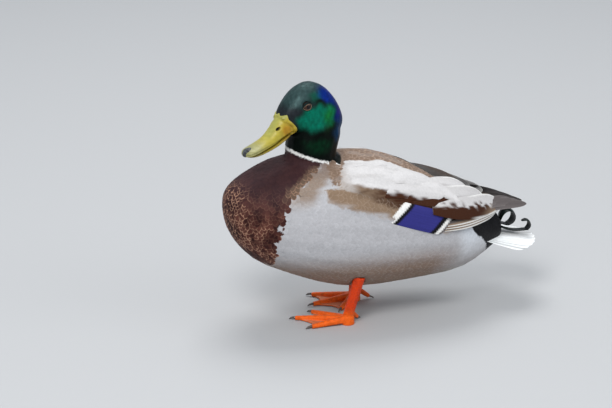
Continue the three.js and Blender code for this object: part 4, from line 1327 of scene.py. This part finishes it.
def make_tail():
    """Tail fan and the two curled feathers above it."""
    c = colours()
    fan = Plumage()
    order = sorted(range(-TAIL_PAIRS, TAIL_PAIRS + 1), key=lambda i: -abs(i))
    for level, i in enumerate(order):
        share = i / TAIL_PAIRS
        angle = math.radians(TAIL_SPREAD * share)
        root = np.array((106, 13 * share, 80 - 1.6 * share ** 2))
        length = bpy.context.scene.mallard_sizes.tail_length / MM - 20 * share ** 2
        tip = np.array((root[0] + length * math.cos(angle), root[1] + length * math.sin(angle),
                        66 - 0.8 * share ** 2))
        bend = (root + tip) / 2 + np.array((0, 0, -1.5))
        lift = np.array((0, 0, 0.11 * level))
        line, along = curve_points(root + lift, bend + lift, tip + lift, 40)

        def paint(u, v, places):
            """White web with a grey middle."""
            grey = (1 - abs(share)) ** 2 * 0.5 * (1 - ramp(np.abs(u), 0.35, 0.8))
            tint = blend(c.tail, c.quill_edge, grey)
            return tint, c.tail + 0 * tint

        across = np.broadcast_to(np.array((0.0, 1.0, 0.0)), line.shape)
        long_feather(fan, line, along, across, TAIL_WIDTH * MM, 0.35 * MM, paint,
                     (0.08 + 0.14 * (level % 6), 0.1 + 0.14 * (level // 6)), 0.12, point=0.2, bow=0.1,
                     root_width=0.7, chance=0.1 * level)
    tail = fan.finish("Tail", plume_material("Tail feathers", 0.6, 0.8))
    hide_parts("tail")
    for node, centre, radius, start, end, lead, y, width in CURLS:
        angles = np.radians(np.linspace(start, end, 16))
        arc = np.stack([centre[0] + radius * np.cos(angles), centre[1] + radius * np.sin(angles)], 1)
        route = smooth_rows(np.vstack([lead, arc]), CURL_STEPS)
        line = np.stack([route[:, 0] + SOURCE_SHIFT, np.full(CURL_STEPS, float(y)), route[:, 1]], 1) * MM
        share = np.linspace(0, 1, CURL_STEPS)

        def paint(u, v, places):
            """Black web with a green glint."""
            tint = blend(c.black, c.emerald * 0.12, ramp(np.abs(u), 0.2, 0.8) * 0.5)
            return tint, c.black + 0 * tint

        plumage = Plumage()
        for k, (shift, part) in enumerate(((0.0, 1.0), (0.7, 0.86))):
            across = np.broadcast_to(np.array((0.0, -1.0, 0.0)), line.shape)
            count = int(CURL_STEPS * part)
            kept = line[:count] + np.array((0, shift * MM, 0.5 * k * MM))
            along = share[:count] / part
            long_feather(plumage, kept, along, across[:len(kept)], width * MM, (1.0 - 0.3 * k) * MM, paint,
                         (0.15 + 0.3 * k, 0.2), 0.25, point=0.22, bow=0.16, root_width=0.55)
        ribbon = plumage.finish(node.replace("tail_", "").capitalize(), plume_material(node, 0.35, 0.7))
        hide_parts(node)


# ---------------------------------------------------------------- bill and eyes

UPPER_BILL = ((-18, 229, 222.8, 8.4), (-14, 234, 221.6, 11.6), (-9, 239, 219.4, 12), (-5, 240, 217.6, 11.8),
              (1, 235.4, 214.8, 11.2), (8, 226.4, 211.4, 10.7), (16, 219, 208.6, 10.3),
              (25, 213.9, 206.3, 10.8), (32.5, 210.8, 204.6, 11.3), (37.5, 209.4, 203.2, 10.2),
              (40.8, 208.2, 202.1, 7.9), (42.8, 206.4, 201.8, 4))
LOWER_BILL = ((-15, 221.6, 217, 7), (-8, 218.8, 213.2, 9.4), (2, 214.1, 208.4, 9.9), (12, 209.6, 204.8, 9.5),
              (24, 206.2, 202, 9.6), (32, 204.8, 200.9, 9.3), (37.5, 203.8, 200.8, 7.2),
              (40.2, 203.2, 201, 3.6))
NOSTRIL = (3.6, 227.2)      # ahead of the notch and height, mm
NOSTRIL_SIZE = (3.1, 1.35)
NOSTRIL_TILT = math.radians(-38)
GROOVE_RISE = 2.8           # over the lower edge of the upper bill
COMB_PITCH = 1.3
# Where the face feathers end at the bill: height, distance behind the notch.
FACE_EDGE = ((204, 4), (210, 7), (216, 15), (220.7, 17), (224, 12.5), (228, 9), (234, 7.3), (241.5, 7),
             (244, 3))


def tube(name, rings, material):
    """Closed surface through rings of points."""
    n, m = rings.shape[:2]
    points = np.concatenate([rings.reshape(-1, 3), rings[0].mean(0)[None], rings[-1].mean(0)[None]])
    i, j = np.meshgrid(np.arange(n - 1), np.arange(m), indexing="ij")
    i, j = i.ravel(), j.ravel()
    k = (j + 1) % m
    quads = np.stack([i * m + j, i * m + k, (i + 1) * m + k, (i + 1) * m + j], 1)
    faces = [tuple(f) for f in quads.tolist()]
    faces += [(n * m, (a + 1) % m, a) for a in range(m)]
    faces += [(n * m + 1, (n - 1) * m + a, (n - 1) * m + (a + 1) % m) for a in range(m)]
    mesh = bpy.data.meshes.new(name)
    mesh.from_pydata(points.tolist(), [], faces)
    mesh.polygons.foreach_set("use_smooth", np.full(len(mesh.polygons), True))
    work = bmesh.new()
    work.from_mesh(mesh)
    bmesh.ops.recalc_face_normals(work, faces=work.faces)
    work.to_mesh(mesh)
    work.free()
    mesh.materials.append(material)
    made = bpy.data.objects.new(name, mesh)
    bpy.context.scene.collection.objects.link(made)
    return made


def bill_colour(c, ahead, out, height, top):
    """Olive yellow bill, greener towards the tip and orange-brown at its base."""
    p = np.stack([ahead, out, height], -1).reshape(-1, 3)
    patch = ripple(p, 6, 31).reshape(ahead.shape)
    low = ramp(top - height, 1.5, 9)
    colour = blend(c.bill, c.bill_tip, ramp(ahead, 14, 34) * (0.75 - 0.3 * low))
    colour = blend(colour, c.bill_green, ramp(4 - (top - height), 0, 4) * ramp(22 - ahead, 0, 12) * 0.7)
    spot = np.exp(-((ahead + 5) / 4.5) ** 2 - ((height - 225) / 4.0) ** 2)
    colour = blend(colour, c.bill_base, np.clip(spot * 1.3 + 0.4 * low * ramp(6 - ahead, 0, 10), 0, 1))
    return colour * (1 + 0.09 * patch)[..., None]


def nostril_depth(ahead, height):
    """1 in the middle of the nostril, 0 outside."""
    along = (ahead - NOSTRIL[0]) * math.cos(NOSTRIL_TILT) + (height - NOSTRIL[1]) * math.sin(NOSTRIL_TILT)
    across = -(ahead - NOSTRIL[0]) * math.sin(NOSTRIL_TILT) + (height - NOSTRIL[1]) * math.cos(NOSTRIL_TILT)
    return 1 - ramp(np.hypot(along / NOSTRIL_SIZE[0], across / NOSTRIL_SIZE[1]), 0.72, 1.05), along, across


def bill_material():
    """Satin horn with fine pores, coloured by its own tint."""
    made, tree, shader = new_material("Bill", Roughness=0.36, Coat_Weight=0.15, Coat_Roughness=0.3,
                                      Specular_IOR_Level=0.3)
    pores = noise(tree, position(tree), 1500.0, 3.0)
    veins = noise(tree, position(tree), 260.0, 4.0, 0.6)
    level = 0.82 + veins * 0.3
    tint = attribute(tree, "tint", "Color")
    feed(tree, shader, "Base Color", mix(tree, 1.0, tint, grey(tree, level), "MULTIPLY"))
    feed(tree, shader, "Normal", bump(tree, pores * 0.4 + veins, 0.2, 0.0003))
    hole = attribute(tree, "hole")
    feed(tree, shader, "Roughness", (0.32 + veins * 0.2 + hole).clamp())
    feed(tree, shader, "Coat Weight", 0.15 * (1 - hole))
    return made


def bill_rings(table, count, flat_top):
    """Rings of points along a bill, from rows of ahead, top, bottom and half width."""
    rows = smooth_rows(table, count)
    turn = np.linspace(0, 2 * math.pi, 72, endpoint=False)
    ahead, top, bottom, half = (rows[:, i][:, None] for i in range(4))
    wide = bottom + (top - bottom) * (0.2 if flat_top else 0.5)
    flatten = 1 - 0.28 * ramp(ahead, 8, 30) * flat_top
    lift = np.where(np.sin(turn) > 0, np.abs(np.sin(turn)) ** flatten, -np.abs(np.sin(turn)) ** 0.7)
    height = wide + np.where(lift > 0, lift * (top - wide), lift * (wide - bottom))
    out = np.cos(turn) * half
    return from_head(ahead + 0 * out, out, height)


def bill_base(surface):
    """Thick copy of the skin where the bill meets the face."""
    near = bill_zone(*in_head(surface.points), 3.0)[surface.corners].max(1) > 0
    used, faces = np.unique(surface.corners[near], return_inverse=True)
    base = build_object("Bill_base", surface.points[used], faces.reshape(-1, 3))
    work = bmesh.new()
    work.from_mesh(base.data)
    bmesh.ops.subdivide_edges(work, edges=work.edges, cuts=3, use_grid_fill=True)
    work.normal_update()
    bare = bill_zone(*in_head(np.array([tuple(v.co) for v in work.verts])))
    for vertex, share in zip(list(work.verts), bare):
        vertex.co += vertex.normal * ((2.3 * share - 1.3) * MM)
    work.to_mesh(base.data)
    work.free()
    thick = base.modifiers.new("thick", "SOLIDIFY")
    thick.thickness = 2.4 * MM
    thick.offset = -1
    bake_modifiers(base)
    return base


def make_bill():
    """Upper and lower bill with nostrils, groove and nail."""
    c = colours()
    surface = Surface(bpy.data.objects["Skin"])
    horn = bill_material()
    upper = tube("Upper_bill", bill_rings(UPPER_BILL, 90, True), horn)
    base = bill_base(surface)
    bpy.ops.object.select_all(action="DESELECT")
    base.select_set(True)
    upper.select_set(True)
    bpy.context.view_layer.objects.active = upper
    bpy.ops.object.join()
    remeshed(upper, VOXEL["bill"], 8)
    back, out, height = in_head(mesh_points(upper.data))
    group = upper.vertex_groups.new(name="base")
    for index, share in enumerate(ramp(back, -9, -3).tolist()):
        group.add((index,), share, "REPLACE")
    ease = upper.modifiers.new("base", "SMOOTH")
    ease.vertex_group = "base"
    ease.factor = 0.5
    ease.iterations = 24
    bake_modifiers(upper)
    upper.vertex_groups.clear()
    points = mesh_points(upper.data)
    back, out, height = in_head(points)
    ahead = -back
    rows = smooth_rows(UPPER_BILL, 200)
    bottom = np.interp(ahead, rows[:, 0], rows[:, 2])
    top = np.interp(ahead, rows[:, 0], rows[:, 1])
    # The nostrils are dented in and filled with a near black, painted shade inside them.
    hole, along, across = nostril_depth(ahead, height)
    flank = ramp(np.abs(out), 2.5, 4)
    hole = hole * flank
    ring = np.hypot(along / (NOSTRIL_SIZE[0] + 0.9), across / (NOSTRIL_SIZE[1] + 0.8))
    ridge = np.exp(-((ring - 1) / 0.18) ** 2) * flank
    groove = np.exp(-((height - bottom - GROOVE_RISE) / 0.6) ** 2)
    groove = groove * ramp(ahead, -4, 4) * ramp(np.abs(out), 3, 6)
    inward = 2.1 * hole - 0.3 * ridge + 0.35 * groove
    points -= LEFTWARD * (np.sign(out) * inward * MM)[:, None]
    move_points(upper.data, points)
    tint = bill_colour(c, ahead, out, height, top)
    # Painted shade: the groove is darkened as well as cut in.
    tint = blend(blend(tint, c.nostril, hole), tint * 0.45, groove * 0.7)
    set_values(upper.data, "tint", "FLOAT_COLOR", tint)
    set_values(upper.data, "hole", "FLOAT", hole)
    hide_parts("bill_upper")
    lower = tube("Lower_bill", bill_rings(LOWER_BILL, 60, False), horn)
    remeshed(lower, VOXEL["bill"], 9)
    points = mesh_points(lower.data)
    back, out, height = in_head(points)
    top = np.interp(-back, *np.array(LOWER_BILL).T[:2])
    comb = 0.22 * np.sin(back * 2 * math.pi / COMB_PITCH)
    comb = comb * ramp(height - top, -1.6, -0.8) * ramp(np.abs(out), 4, 6)
    points += LEFTWARD * (np.sign(out) * comb * MM)[:, None]
    move_points(lower.data, points)
    tint = bill_colour(c, -back, out, height, top + 6)
    set_values(lower.data, "tint", "FLOAT_COLOR", blend(tint, c.bill_base, 0.3 + 0 * back) * 0.75)
    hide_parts("bill_lower")
    make_nail()
    for piece in (upper, lower):
        cover(piece, horn)
        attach(piece, "root")


# Middle line of the nail from its root to its hook: ahead of the notch, height, half width, in mm.
NAIL = ((34.4, 210.5, 1.0), (35.6, 210.5, 2.7), (37.2, 210.2, 3.8), (39, 209.7, 4.4), (40.8, 208.8, 4.7),
        (42.4, 207.4, 4.6), (43.5, 205.6, 4.1), (43.8, 203.6, 3.3), (43.3, 201.9, 1.8))


def make_nail():
    """Hard black nail hooked over the tip of the upper bill."""
    c = colours()
    rows = smooth_rows(NAIL, 40)
    place_across = np.sin(np.linspace(-1, 1, 17) * math.pi / 2)
    rings = []
    for k, (ahead, height, half) in enumerate(rows):
        front = ramp(k / (len(rows) - 1), 0.3, 0.9)
        out = place_across * half
        drop = (0.028 + 0.02 * front) * out ** 2
        rounded = 0.07 * front * out ** 2
        edge = 0.3 * np.abs(place_across) ** 4
        top = from_head(ahead - rounded - edge * front, out, height - drop - edge * (1 - front))
        deep = 1.5 * (1 - front)
        under = from_head(ahead - rounded - 1.5 * front, out * 0.94, height - drop - deep - 0.3)
        rings.append(np.concatenate([top, under[::-1]]))
    made, tree, shader = new_material("Nail", Roughness=0.4, Specular_IOR_Level=0.3)
    grain = noise(tree, position(tree), 500.0, 4.0)
    shine = grain.rise(0.42, 0.66)
    feed(tree, shader, "Base Color", mix(tree, shine, plain(c.nail), plain(c.nail_shine)))
    feed(tree, shader, "Normal", bump(tree, grain, 0.3, 0.0003))
    nail = tube("Nail_of_the_bill", np.array(rings), made)
    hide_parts("bill_nail")
    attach(nail, "root")


def bill_zone(back, out, height, wider=0.0):
    """1 where the bill shows rather than feathers, from the head's own measures, eased at its edge."""
    edge = edge_at(FACE_EDGE, height) + wider
    crown = 238.4 + 0.33 * np.abs(out) + wider
    return ramp(edge - back, -0.7, 0.7) * ramp(crown - height, -0.7, 0.7) * (height > 203) * (back < 24)


EYE_TILT = math.radians(16)
EYE_OPENING = (math.radians(60), math.radians(31))
# Rings of the lids: share of the way from the opening to the back, thickness over the eyeball in mm.
LID_RINGS = ((-0.03, -0.3), (0.0, 0.16), (0.03, 0.34), (0.07, 0.4), (0.12, 0.34), (0.2, 0.28), (0.34, 0.22),
             (0.55, 0.1), (0.8, -0.25), (1.0, -1.0))
LID_BACK = math.radians(98)


def make_eyes():
    """Eyeballs and the lids round their almond opening."""
    c = colours()
    ball, tree, shader = new_material("Eye", Roughness=0.08, Specular_IOR_Level=0.25)
    feed(tree, shader, "Base Color", attribute(tree, "tint", "Color"))
    lid, tree, shader = new_material("Eyelid", Roughness=0.8, Specular_IOR_Level=0.06)
    feed(tree, shader, "Base Color", attribute(tree, "tint", "Color"))
    wrinkles = noise(tree, position(tree), 1600.0, 3.0)
    feed(tree, shader, "Normal", bump(tree, wrinkles, 0.5, 0.0003))
    size = bpy.context.scene.mallard_sizes.eye_radius
    for side, centre in zip((1, -1), EYES):
        name = "left" if side > 0 else "right"
        axis = unit(LEFTWARD * side + FORWARD * 0.16 + np.array((0, 0, 0.05)))
        back = -FORWARD * math.cos(EYE_TILT) + np.array((0, 0, math.sin(EYE_TILT)))
        back = unit(back - axis * (back @ axis))
        up = np.cross(axis, back) * -side
        up = up if up[2] > 0 else -up
        away = np.linspace(0.01, 1, 40) * math.radians(125)
        turn = np.linspace(0, 2 * math.pi, 64, endpoint=False)
        spoke = np.cos(turn)[:, None] * back + np.sin(turn)[:, None] * up
        radius = size * (1 + 0.035 * np.exp(-(away / 0.5) ** 2))
        rings = centre + radius[:, None, None] * (np.cos(away)[:, None, None] * axis
                                                  + np.sin(away)[:, None, None] * spoke)
        eye = tube(f"Eye_{name}", rings, ball)
        angle = np.degrees(away)[:, None]
        fleck = ripple(np.stack([3 * np.cos(turn), 3 * np.sin(turn), 0 * turn], 1), 1.1, 40)[None]
        iris = blend(c.iris, c.iris * 0.45, ramp(angle, 40, 56) * 0.8)
        iris = iris * (1 + 0.18 * fleck[..., None])
        tint = blend(iris, c.pupil, 1 - ramp(angle, 23, 26) + 0 * fleck)
        ends = np.stack([tint[0].mean(0), tint[-1].mean(0)])
        set_values(eye.data, "tint", "FLOAT_COLOR", np.concatenate([tint.reshape(-1, 3), ends]))
        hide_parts(f"eye_{name}")
        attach(eye, "root")
        lean = np.stack([EYE_OPENING[0] * np.cos(turn), EYE_OPENING[1] * np.sin(turn)], 1)
        sharp = np.abs(np.cos(turn)) ** 1.6
        opening = np.hypot(lean[:, 0], lean[:, 1] * (1 - 0.3 * sharp))
        aim = unit(lean)
        direction = aim[:, :1] * back + aim[:, 1:] * up
        rings, tints = [], []
        for step, (more, thick) in enumerate(LID_RINGS):
            spread = opening + more * (LID_BACK - opening)
            reach = size + thick * MM
            slanted = np.cos(spread)[:, None] * axis + np.sin(spread)[:, None] * direction
            rings.append(centre + reach * slanted)
            pale = float(step in (1, 2)) * 0.75 + float(step == 3) * 0.3
            around = head_colour(c, *in_head(rings[-1])) * (0.3 if step > 3 else 0.15)
            tints.append(blend(around, c.lid, np.full(len(turn), pale)))
        rings.append(rings[-1] * 0.4 + centre * 0.6)
        tints.append(tints[-1])
        lids = tube(f"Eyelids_{name}", np.array(rings), lid)
        tints = np.concatenate(tints)
        ends = np.stack([tints[0], tints[-1]])
        set_values(lids.data, "tint", "FLOAT_COLOR", np.concatenate([tints, ends]))
        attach(lids, "root")


# ---------------------------------------------------------------- legs and feet

SCUTE_PITCH = 3.2           # rings round the shank
TOE_PITCH = 2.9             # ridges across the toes


def make_legs():
    """Scaled shanks and webbed feet."""
    c = colours()
    made, tree, shader = new_material("Leg skin", Roughness=0.48, Specular_IOR_Level=0.25,
                                      Subsurface_Weight=0.05, Subsurface_Radius=(0.003, 0.001, 0.0005))
    tint = attribute(tree, "tint", "Color")
    web = attribute(tree, "web")
    where = position(tree)
    inputs = {"Vector": where, "Scale": 820.0}
    cells = add_node(tree, "ShaderNodeTexVoronoi", {"feature": "DISTANCE_TO_EDGE"}, inputs)
    seams = 1 - cells.rise(0.0, 0.16)
    mottled = noise(tree, where, 380.0, 3.0)
    colour = mix(tree, (seams * 0.22 * (1 - web)).clamp(), tint, plain(c.seam))
    level = 0.8 + mottled * 0.4
    feed(tree, shader, "Base Color", mix(tree, 1.0, colour, grey(tree, level), "MULTIPLY"))
    feed(tree, shader, "Normal", bump(tree, 1 - seams * (1 - web * 0.7), 0.4, 0.0004))
    for side, name in ((LEFT, "left"), (-LEFT, "right")):
        nodes = [f"{part}_{name}" for part in ("shank", "foot", "hind_toe")]
        leg = joined_copy(f"Leg_{name}", nodes, 0.25 * MM)
        remeshed(leg, VOXEL["leg"], 5)
        mesh = leg.data
        points = mesh_points(mesh)
        normals = mesh_normals(mesh).astype(float)
        p = points / MM
        height = p[:, 2]
        thin = ramp(3.0 - height, 0, 0.9) * ramp(normals[:, 2], 0.2, 0.7)
        scute = np.sin(height * 2 * math.pi / SCUTE_PITCH + 0.8 * ripple(p, 9, 61)) * ramp(height, 8, 12)
        ahead = np.sin(p[:, 0] * 2 * math.pi / TOE_PITCH + 0.7 * ripple(p, 8, 62))
        ahead = ahead * ramp(12 - height, 0, 3) * (1 - thin)
        move = (0.14 * scute + 0.2 * np.abs(ahead) * ramp(normals[:, 2], 0, 0.5) - 0.1) * MM
        points += normals * move[:, None]
        points[:, 2] = np.maximum(points[:, 2], 0)
        move_points(mesh, points)
        shade = ripple(p, 7, 63)
        rows = blend(c.toe, c.shank, ramp(height, 8, 24))
        rows = blend(rows, rows * 0.72, ramp(shade, 0, 1) * 0.6)
        # Painted shade: the far leg's shank is darker than the near one's.
        far_leg_shade = 0.45 if side != LEFT else 0.0
        rows = blend(rows, c.shank * 0.8, far_leg_shade * ramp(height, 0, 10) * 0.5)
        rows = blend(rows, c.web, thin * 0.85)
        # Painted shade: faces that look downwards take the dark sole colour.
        rows = blend(rows, c.sole_shade, ramp(-normals[:, 2], 0.4, 0.9) * 0.7)
        set_values(mesh, "tint", "FLOAT_COLOR", rows)
        set_values(mesh, "web", "FLOAT", thin)
        cover(leg, made)
        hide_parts(*nodes)
        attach(leg, "root")
    horn, tree, shader = new_material("Claws", Roughness=0.35, Coat_Weight=0.2)
    streaks = noise(tree, position(tree), 900.0, 3.0)
    feed(tree, shader, "Base Color", mix(tree, streaks, plain(c.claw), plain(c.claw_pale)))
    names = [f"claw_{toe}_{side}" for toe in ("outer", "middle", "inner", "hind") for side in SIDES]
    claws = joined_copy("Claws", names, 0.0)
    remeshed(claws, VOXEL["claws"], 2, keep_largest=False)
    cover(claws, horn)
    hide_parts(*names)
    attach(claws, "root")


# ---------------------------------------------------------------- stage

FLOOR_COLOUR = (0.46, 0.465, 0.47, 1)
SKY_COLOUR = (0.86, 0.92, 1.0, 1)
SKY_STRENGTH = 0.55
# Soft lights: place, width in metres, power in watts.
LAMPS = {
    "Key": ((-1.3, -1.9, 2.3), 1.2, 66),
    "Fill": ((1.8, -1.6, 1.4), 1.6, 12),
    "Top": ((0.2, 0.9, 2.4), 1.4, 34),
}
LAMP_AIM = Vector((0, 0, 0.1))
CAMERA_AZIMUTH = math.radians(-20)
CAMERA_ELEVATION = math.radians(18.5)
CAMERA_AIM = Vector((-0.0658, 0.0623, 0.1094))
LENS = 150
SENSOR = 36


def make_stage():
    """Pale floor, soft lights and the camera."""
    scene = bpy.context.scene
    bpy.ops.mesh.primitive_plane_add(size=12)
    floor = bpy.context.object
    floor.name = "Floor"
    made, _, _ = new_material("Pale floor", Roughness=0.9, Base_Color=FLOOR_COLOUR)
    floor.data.materials.append(made)
    scene.world = bpy.data.worlds.new("Soft light")
    scene.world.use_nodes = True
    sky = scene.world.node_tree.nodes["Background"]
    sky.inputs["Color"].default_value = SKY_COLOUR
    sky.inputs["Strength"].default_value = SKY_STRENGTH
    for name, (where, width, power) in LAMPS.items():
        light = bpy.data.lights.new(name, "AREA")
        light.energy = power
        light.size = width
        lamp = bpy.data.objects.new(name, light)
        scene.collection.objects.link(lamp)
        lamp.location = where
        lamp.rotation_euler = (LAMP_AIM - Vector(where)).to_track_quat("-Z", "Y").to_euler()
    camera = bpy.data.objects.new("Camera", bpy.data.cameras.new("Camera"))
    scene.collection.objects.link(camera)
    camera.data.lens = LENS
    camera.data.sensor_width = SENSOR
    level = math.cos(CAMERA_ELEVATION)
    across, ahead = math.sin(CAMERA_AZIMUTH) * level, -math.cos(CAMERA_AZIMUTH) * level
    back = Vector((across, ahead, math.sin(CAMERA_ELEVATION)))
    camera.location = CAMERA_AIM + back * scene.mallard_sizes.camera_distance
    camera.rotation_euler = back.to_track_quat("Z", "Y").to_euler()
    scene.camera = camera
    scene.view_settings.view_transform = "Standard"


# ---------------------------------------------------------------- add-on

def measure(name, description, default):
    """A length that a user can change, its default given in mm."""
    return bpy.props.FloatProperty(name=name, description=description, default=default * MM, min=0.0,
                                   unit="LENGTH")


class MallardSizes(bpy.types.PropertyGroup):
    """Sizes of the model."""

    skin_depth: measure("Skin depth", "Skin under the body's coat", 1.6)
    face_depth: measure("Face skin depth", "Skin under the head's coat", 0.8)
    eye_radius: measure("Eye radius", "Radius of the eyeballs", 5.25)
    tail_length: measure("Tail length", "Longest tail feather", 77)
    camera_distance: measure("Camera distance", "From the bird to the camera", 2833)


class MALLARD_OT_stage(bpy.types.Operator):
    """Pale floor, soft lights and the camera."""

    bl_idname = "mallard.stage"
    bl_label = "Stage"

    def execute(self, context):
        make_stage()
        return {"FINISHED"}


class MALLARD_OT_skin(bpy.types.Operator):
    """One skin in place of all the solids of flesh."""

    bl_idname = "mallard.skin"
    bl_label = "Skin"

    def execute(self, context):
        make_skin()
        return {"FINISHED"}


class MALLARD_OT_bill(bpy.types.Operator):
    """Upper and lower bill with nostrils, groove and nail."""

    bl_idname = "mallard.bill"
    bl_label = "Bill"

    def execute(self, context):
        make_bill()
        return {"FINISHED"}


class MALLARD_OT_eyes(bpy.types.Operator):
    """Eyeballs and the lids round them."""

    bl_idname = "mallard.eyes"
    bl_label = "Eyes"

    def execute(self, context):
        make_eyes()
        return {"FINISHED"}


class MALLARD_OT_coat(bpy.types.Operator):
    """Feathers all over the skin, in pieces."""

    bl_idname = "mallard.coat"
    bl_label = "Coat"

    def execute(self, context):
        make_coat()
        return {"FINISHED"}


class MALLARD_OT_wings(bpy.types.Operator):
    """Speculum, flight feathers and shoulder feathers."""

    bl_idname = "mallard.wings"
    bl_label = "Wings"

    def execute(self, context):
        make_wings()
        return {"FINISHED"}


class MALLARD_OT_tail(bpy.types.Operator):
    """Tail fan and curled feathers."""

    bl_idname = "mallard.tail"
    bl_label = "Tail"

    def execute(self, context):
        make_tail()
        return {"FINISHED"}


class MALLARD_OT_legs(bpy.types.Operator):
    """Scaled shanks, webbed feet and claws."""

    bl_idname = "mallard.legs"
    bl_label = "Legs"

    def execute(self, context):
        make_legs()
        return {"FINISHED"}


STEPS = (MALLARD_OT_stage, MALLARD_OT_skin, MALLARD_OT_bill, MALLARD_OT_eyes,
         MALLARD_OT_coat, MALLARD_OT_wings, MALLARD_OT_tail, MALLARD_OT_legs)


class MALLARD_PT_panel(bpy.types.Panel):
    """Steps, sizes and colours of the drake."""

    bl_label = "Mallard drake"
    bl_space_type = "VIEW_3D"
    bl_region_type = "UI"
    bl_category = "Mallard"

    def draw(self, context):
        """Lists the steps, then every size and colour."""
        for made in STEPS:
            self.layout.operator(made.bl_idname)
        for group in (context.scene.mallard_sizes, context.scene.mallard_colours):
            for name in type(group).__annotations__:
                self.layout.prop(group, name)


CLASSES = [MallardSizes, MallardColours, *STEPS, MALLARD_PT_panel]


def register():
    """Registers the classes and hangs the sizes and colours on the scene."""
    for made in CLASSES:
        bpy.utils.register_class(made)
    bpy.types.Scene.mallard_sizes = bpy.props.PointerProperty(type=MallardSizes)
    bpy.types.Scene.mallard_colours = bpy.props.PointerProperty(type=MallardColours)


def unregister():
    """Undoes register."""
    del bpy.types.Scene.mallard_colours
    del bpy.types.Scene.mallard_sizes
    for made in reversed(CLASSES):
        bpy.utils.unregister_class(made)


def main():
    """Builds the whole model."""
    register()
    bpy.ops.mallard.stage()
    bpy.ops.mallard.skin()
    bpy.ops.mallard.bill()
    bpy.ops.mallard.eyes()
    bpy.ops.mallard.coat()
    bpy.ops.mallard.wings()
    bpy.ops.mallard.tail()
    bpy.ops.mallard.legs()


if __name__ == "__main__":
    main()
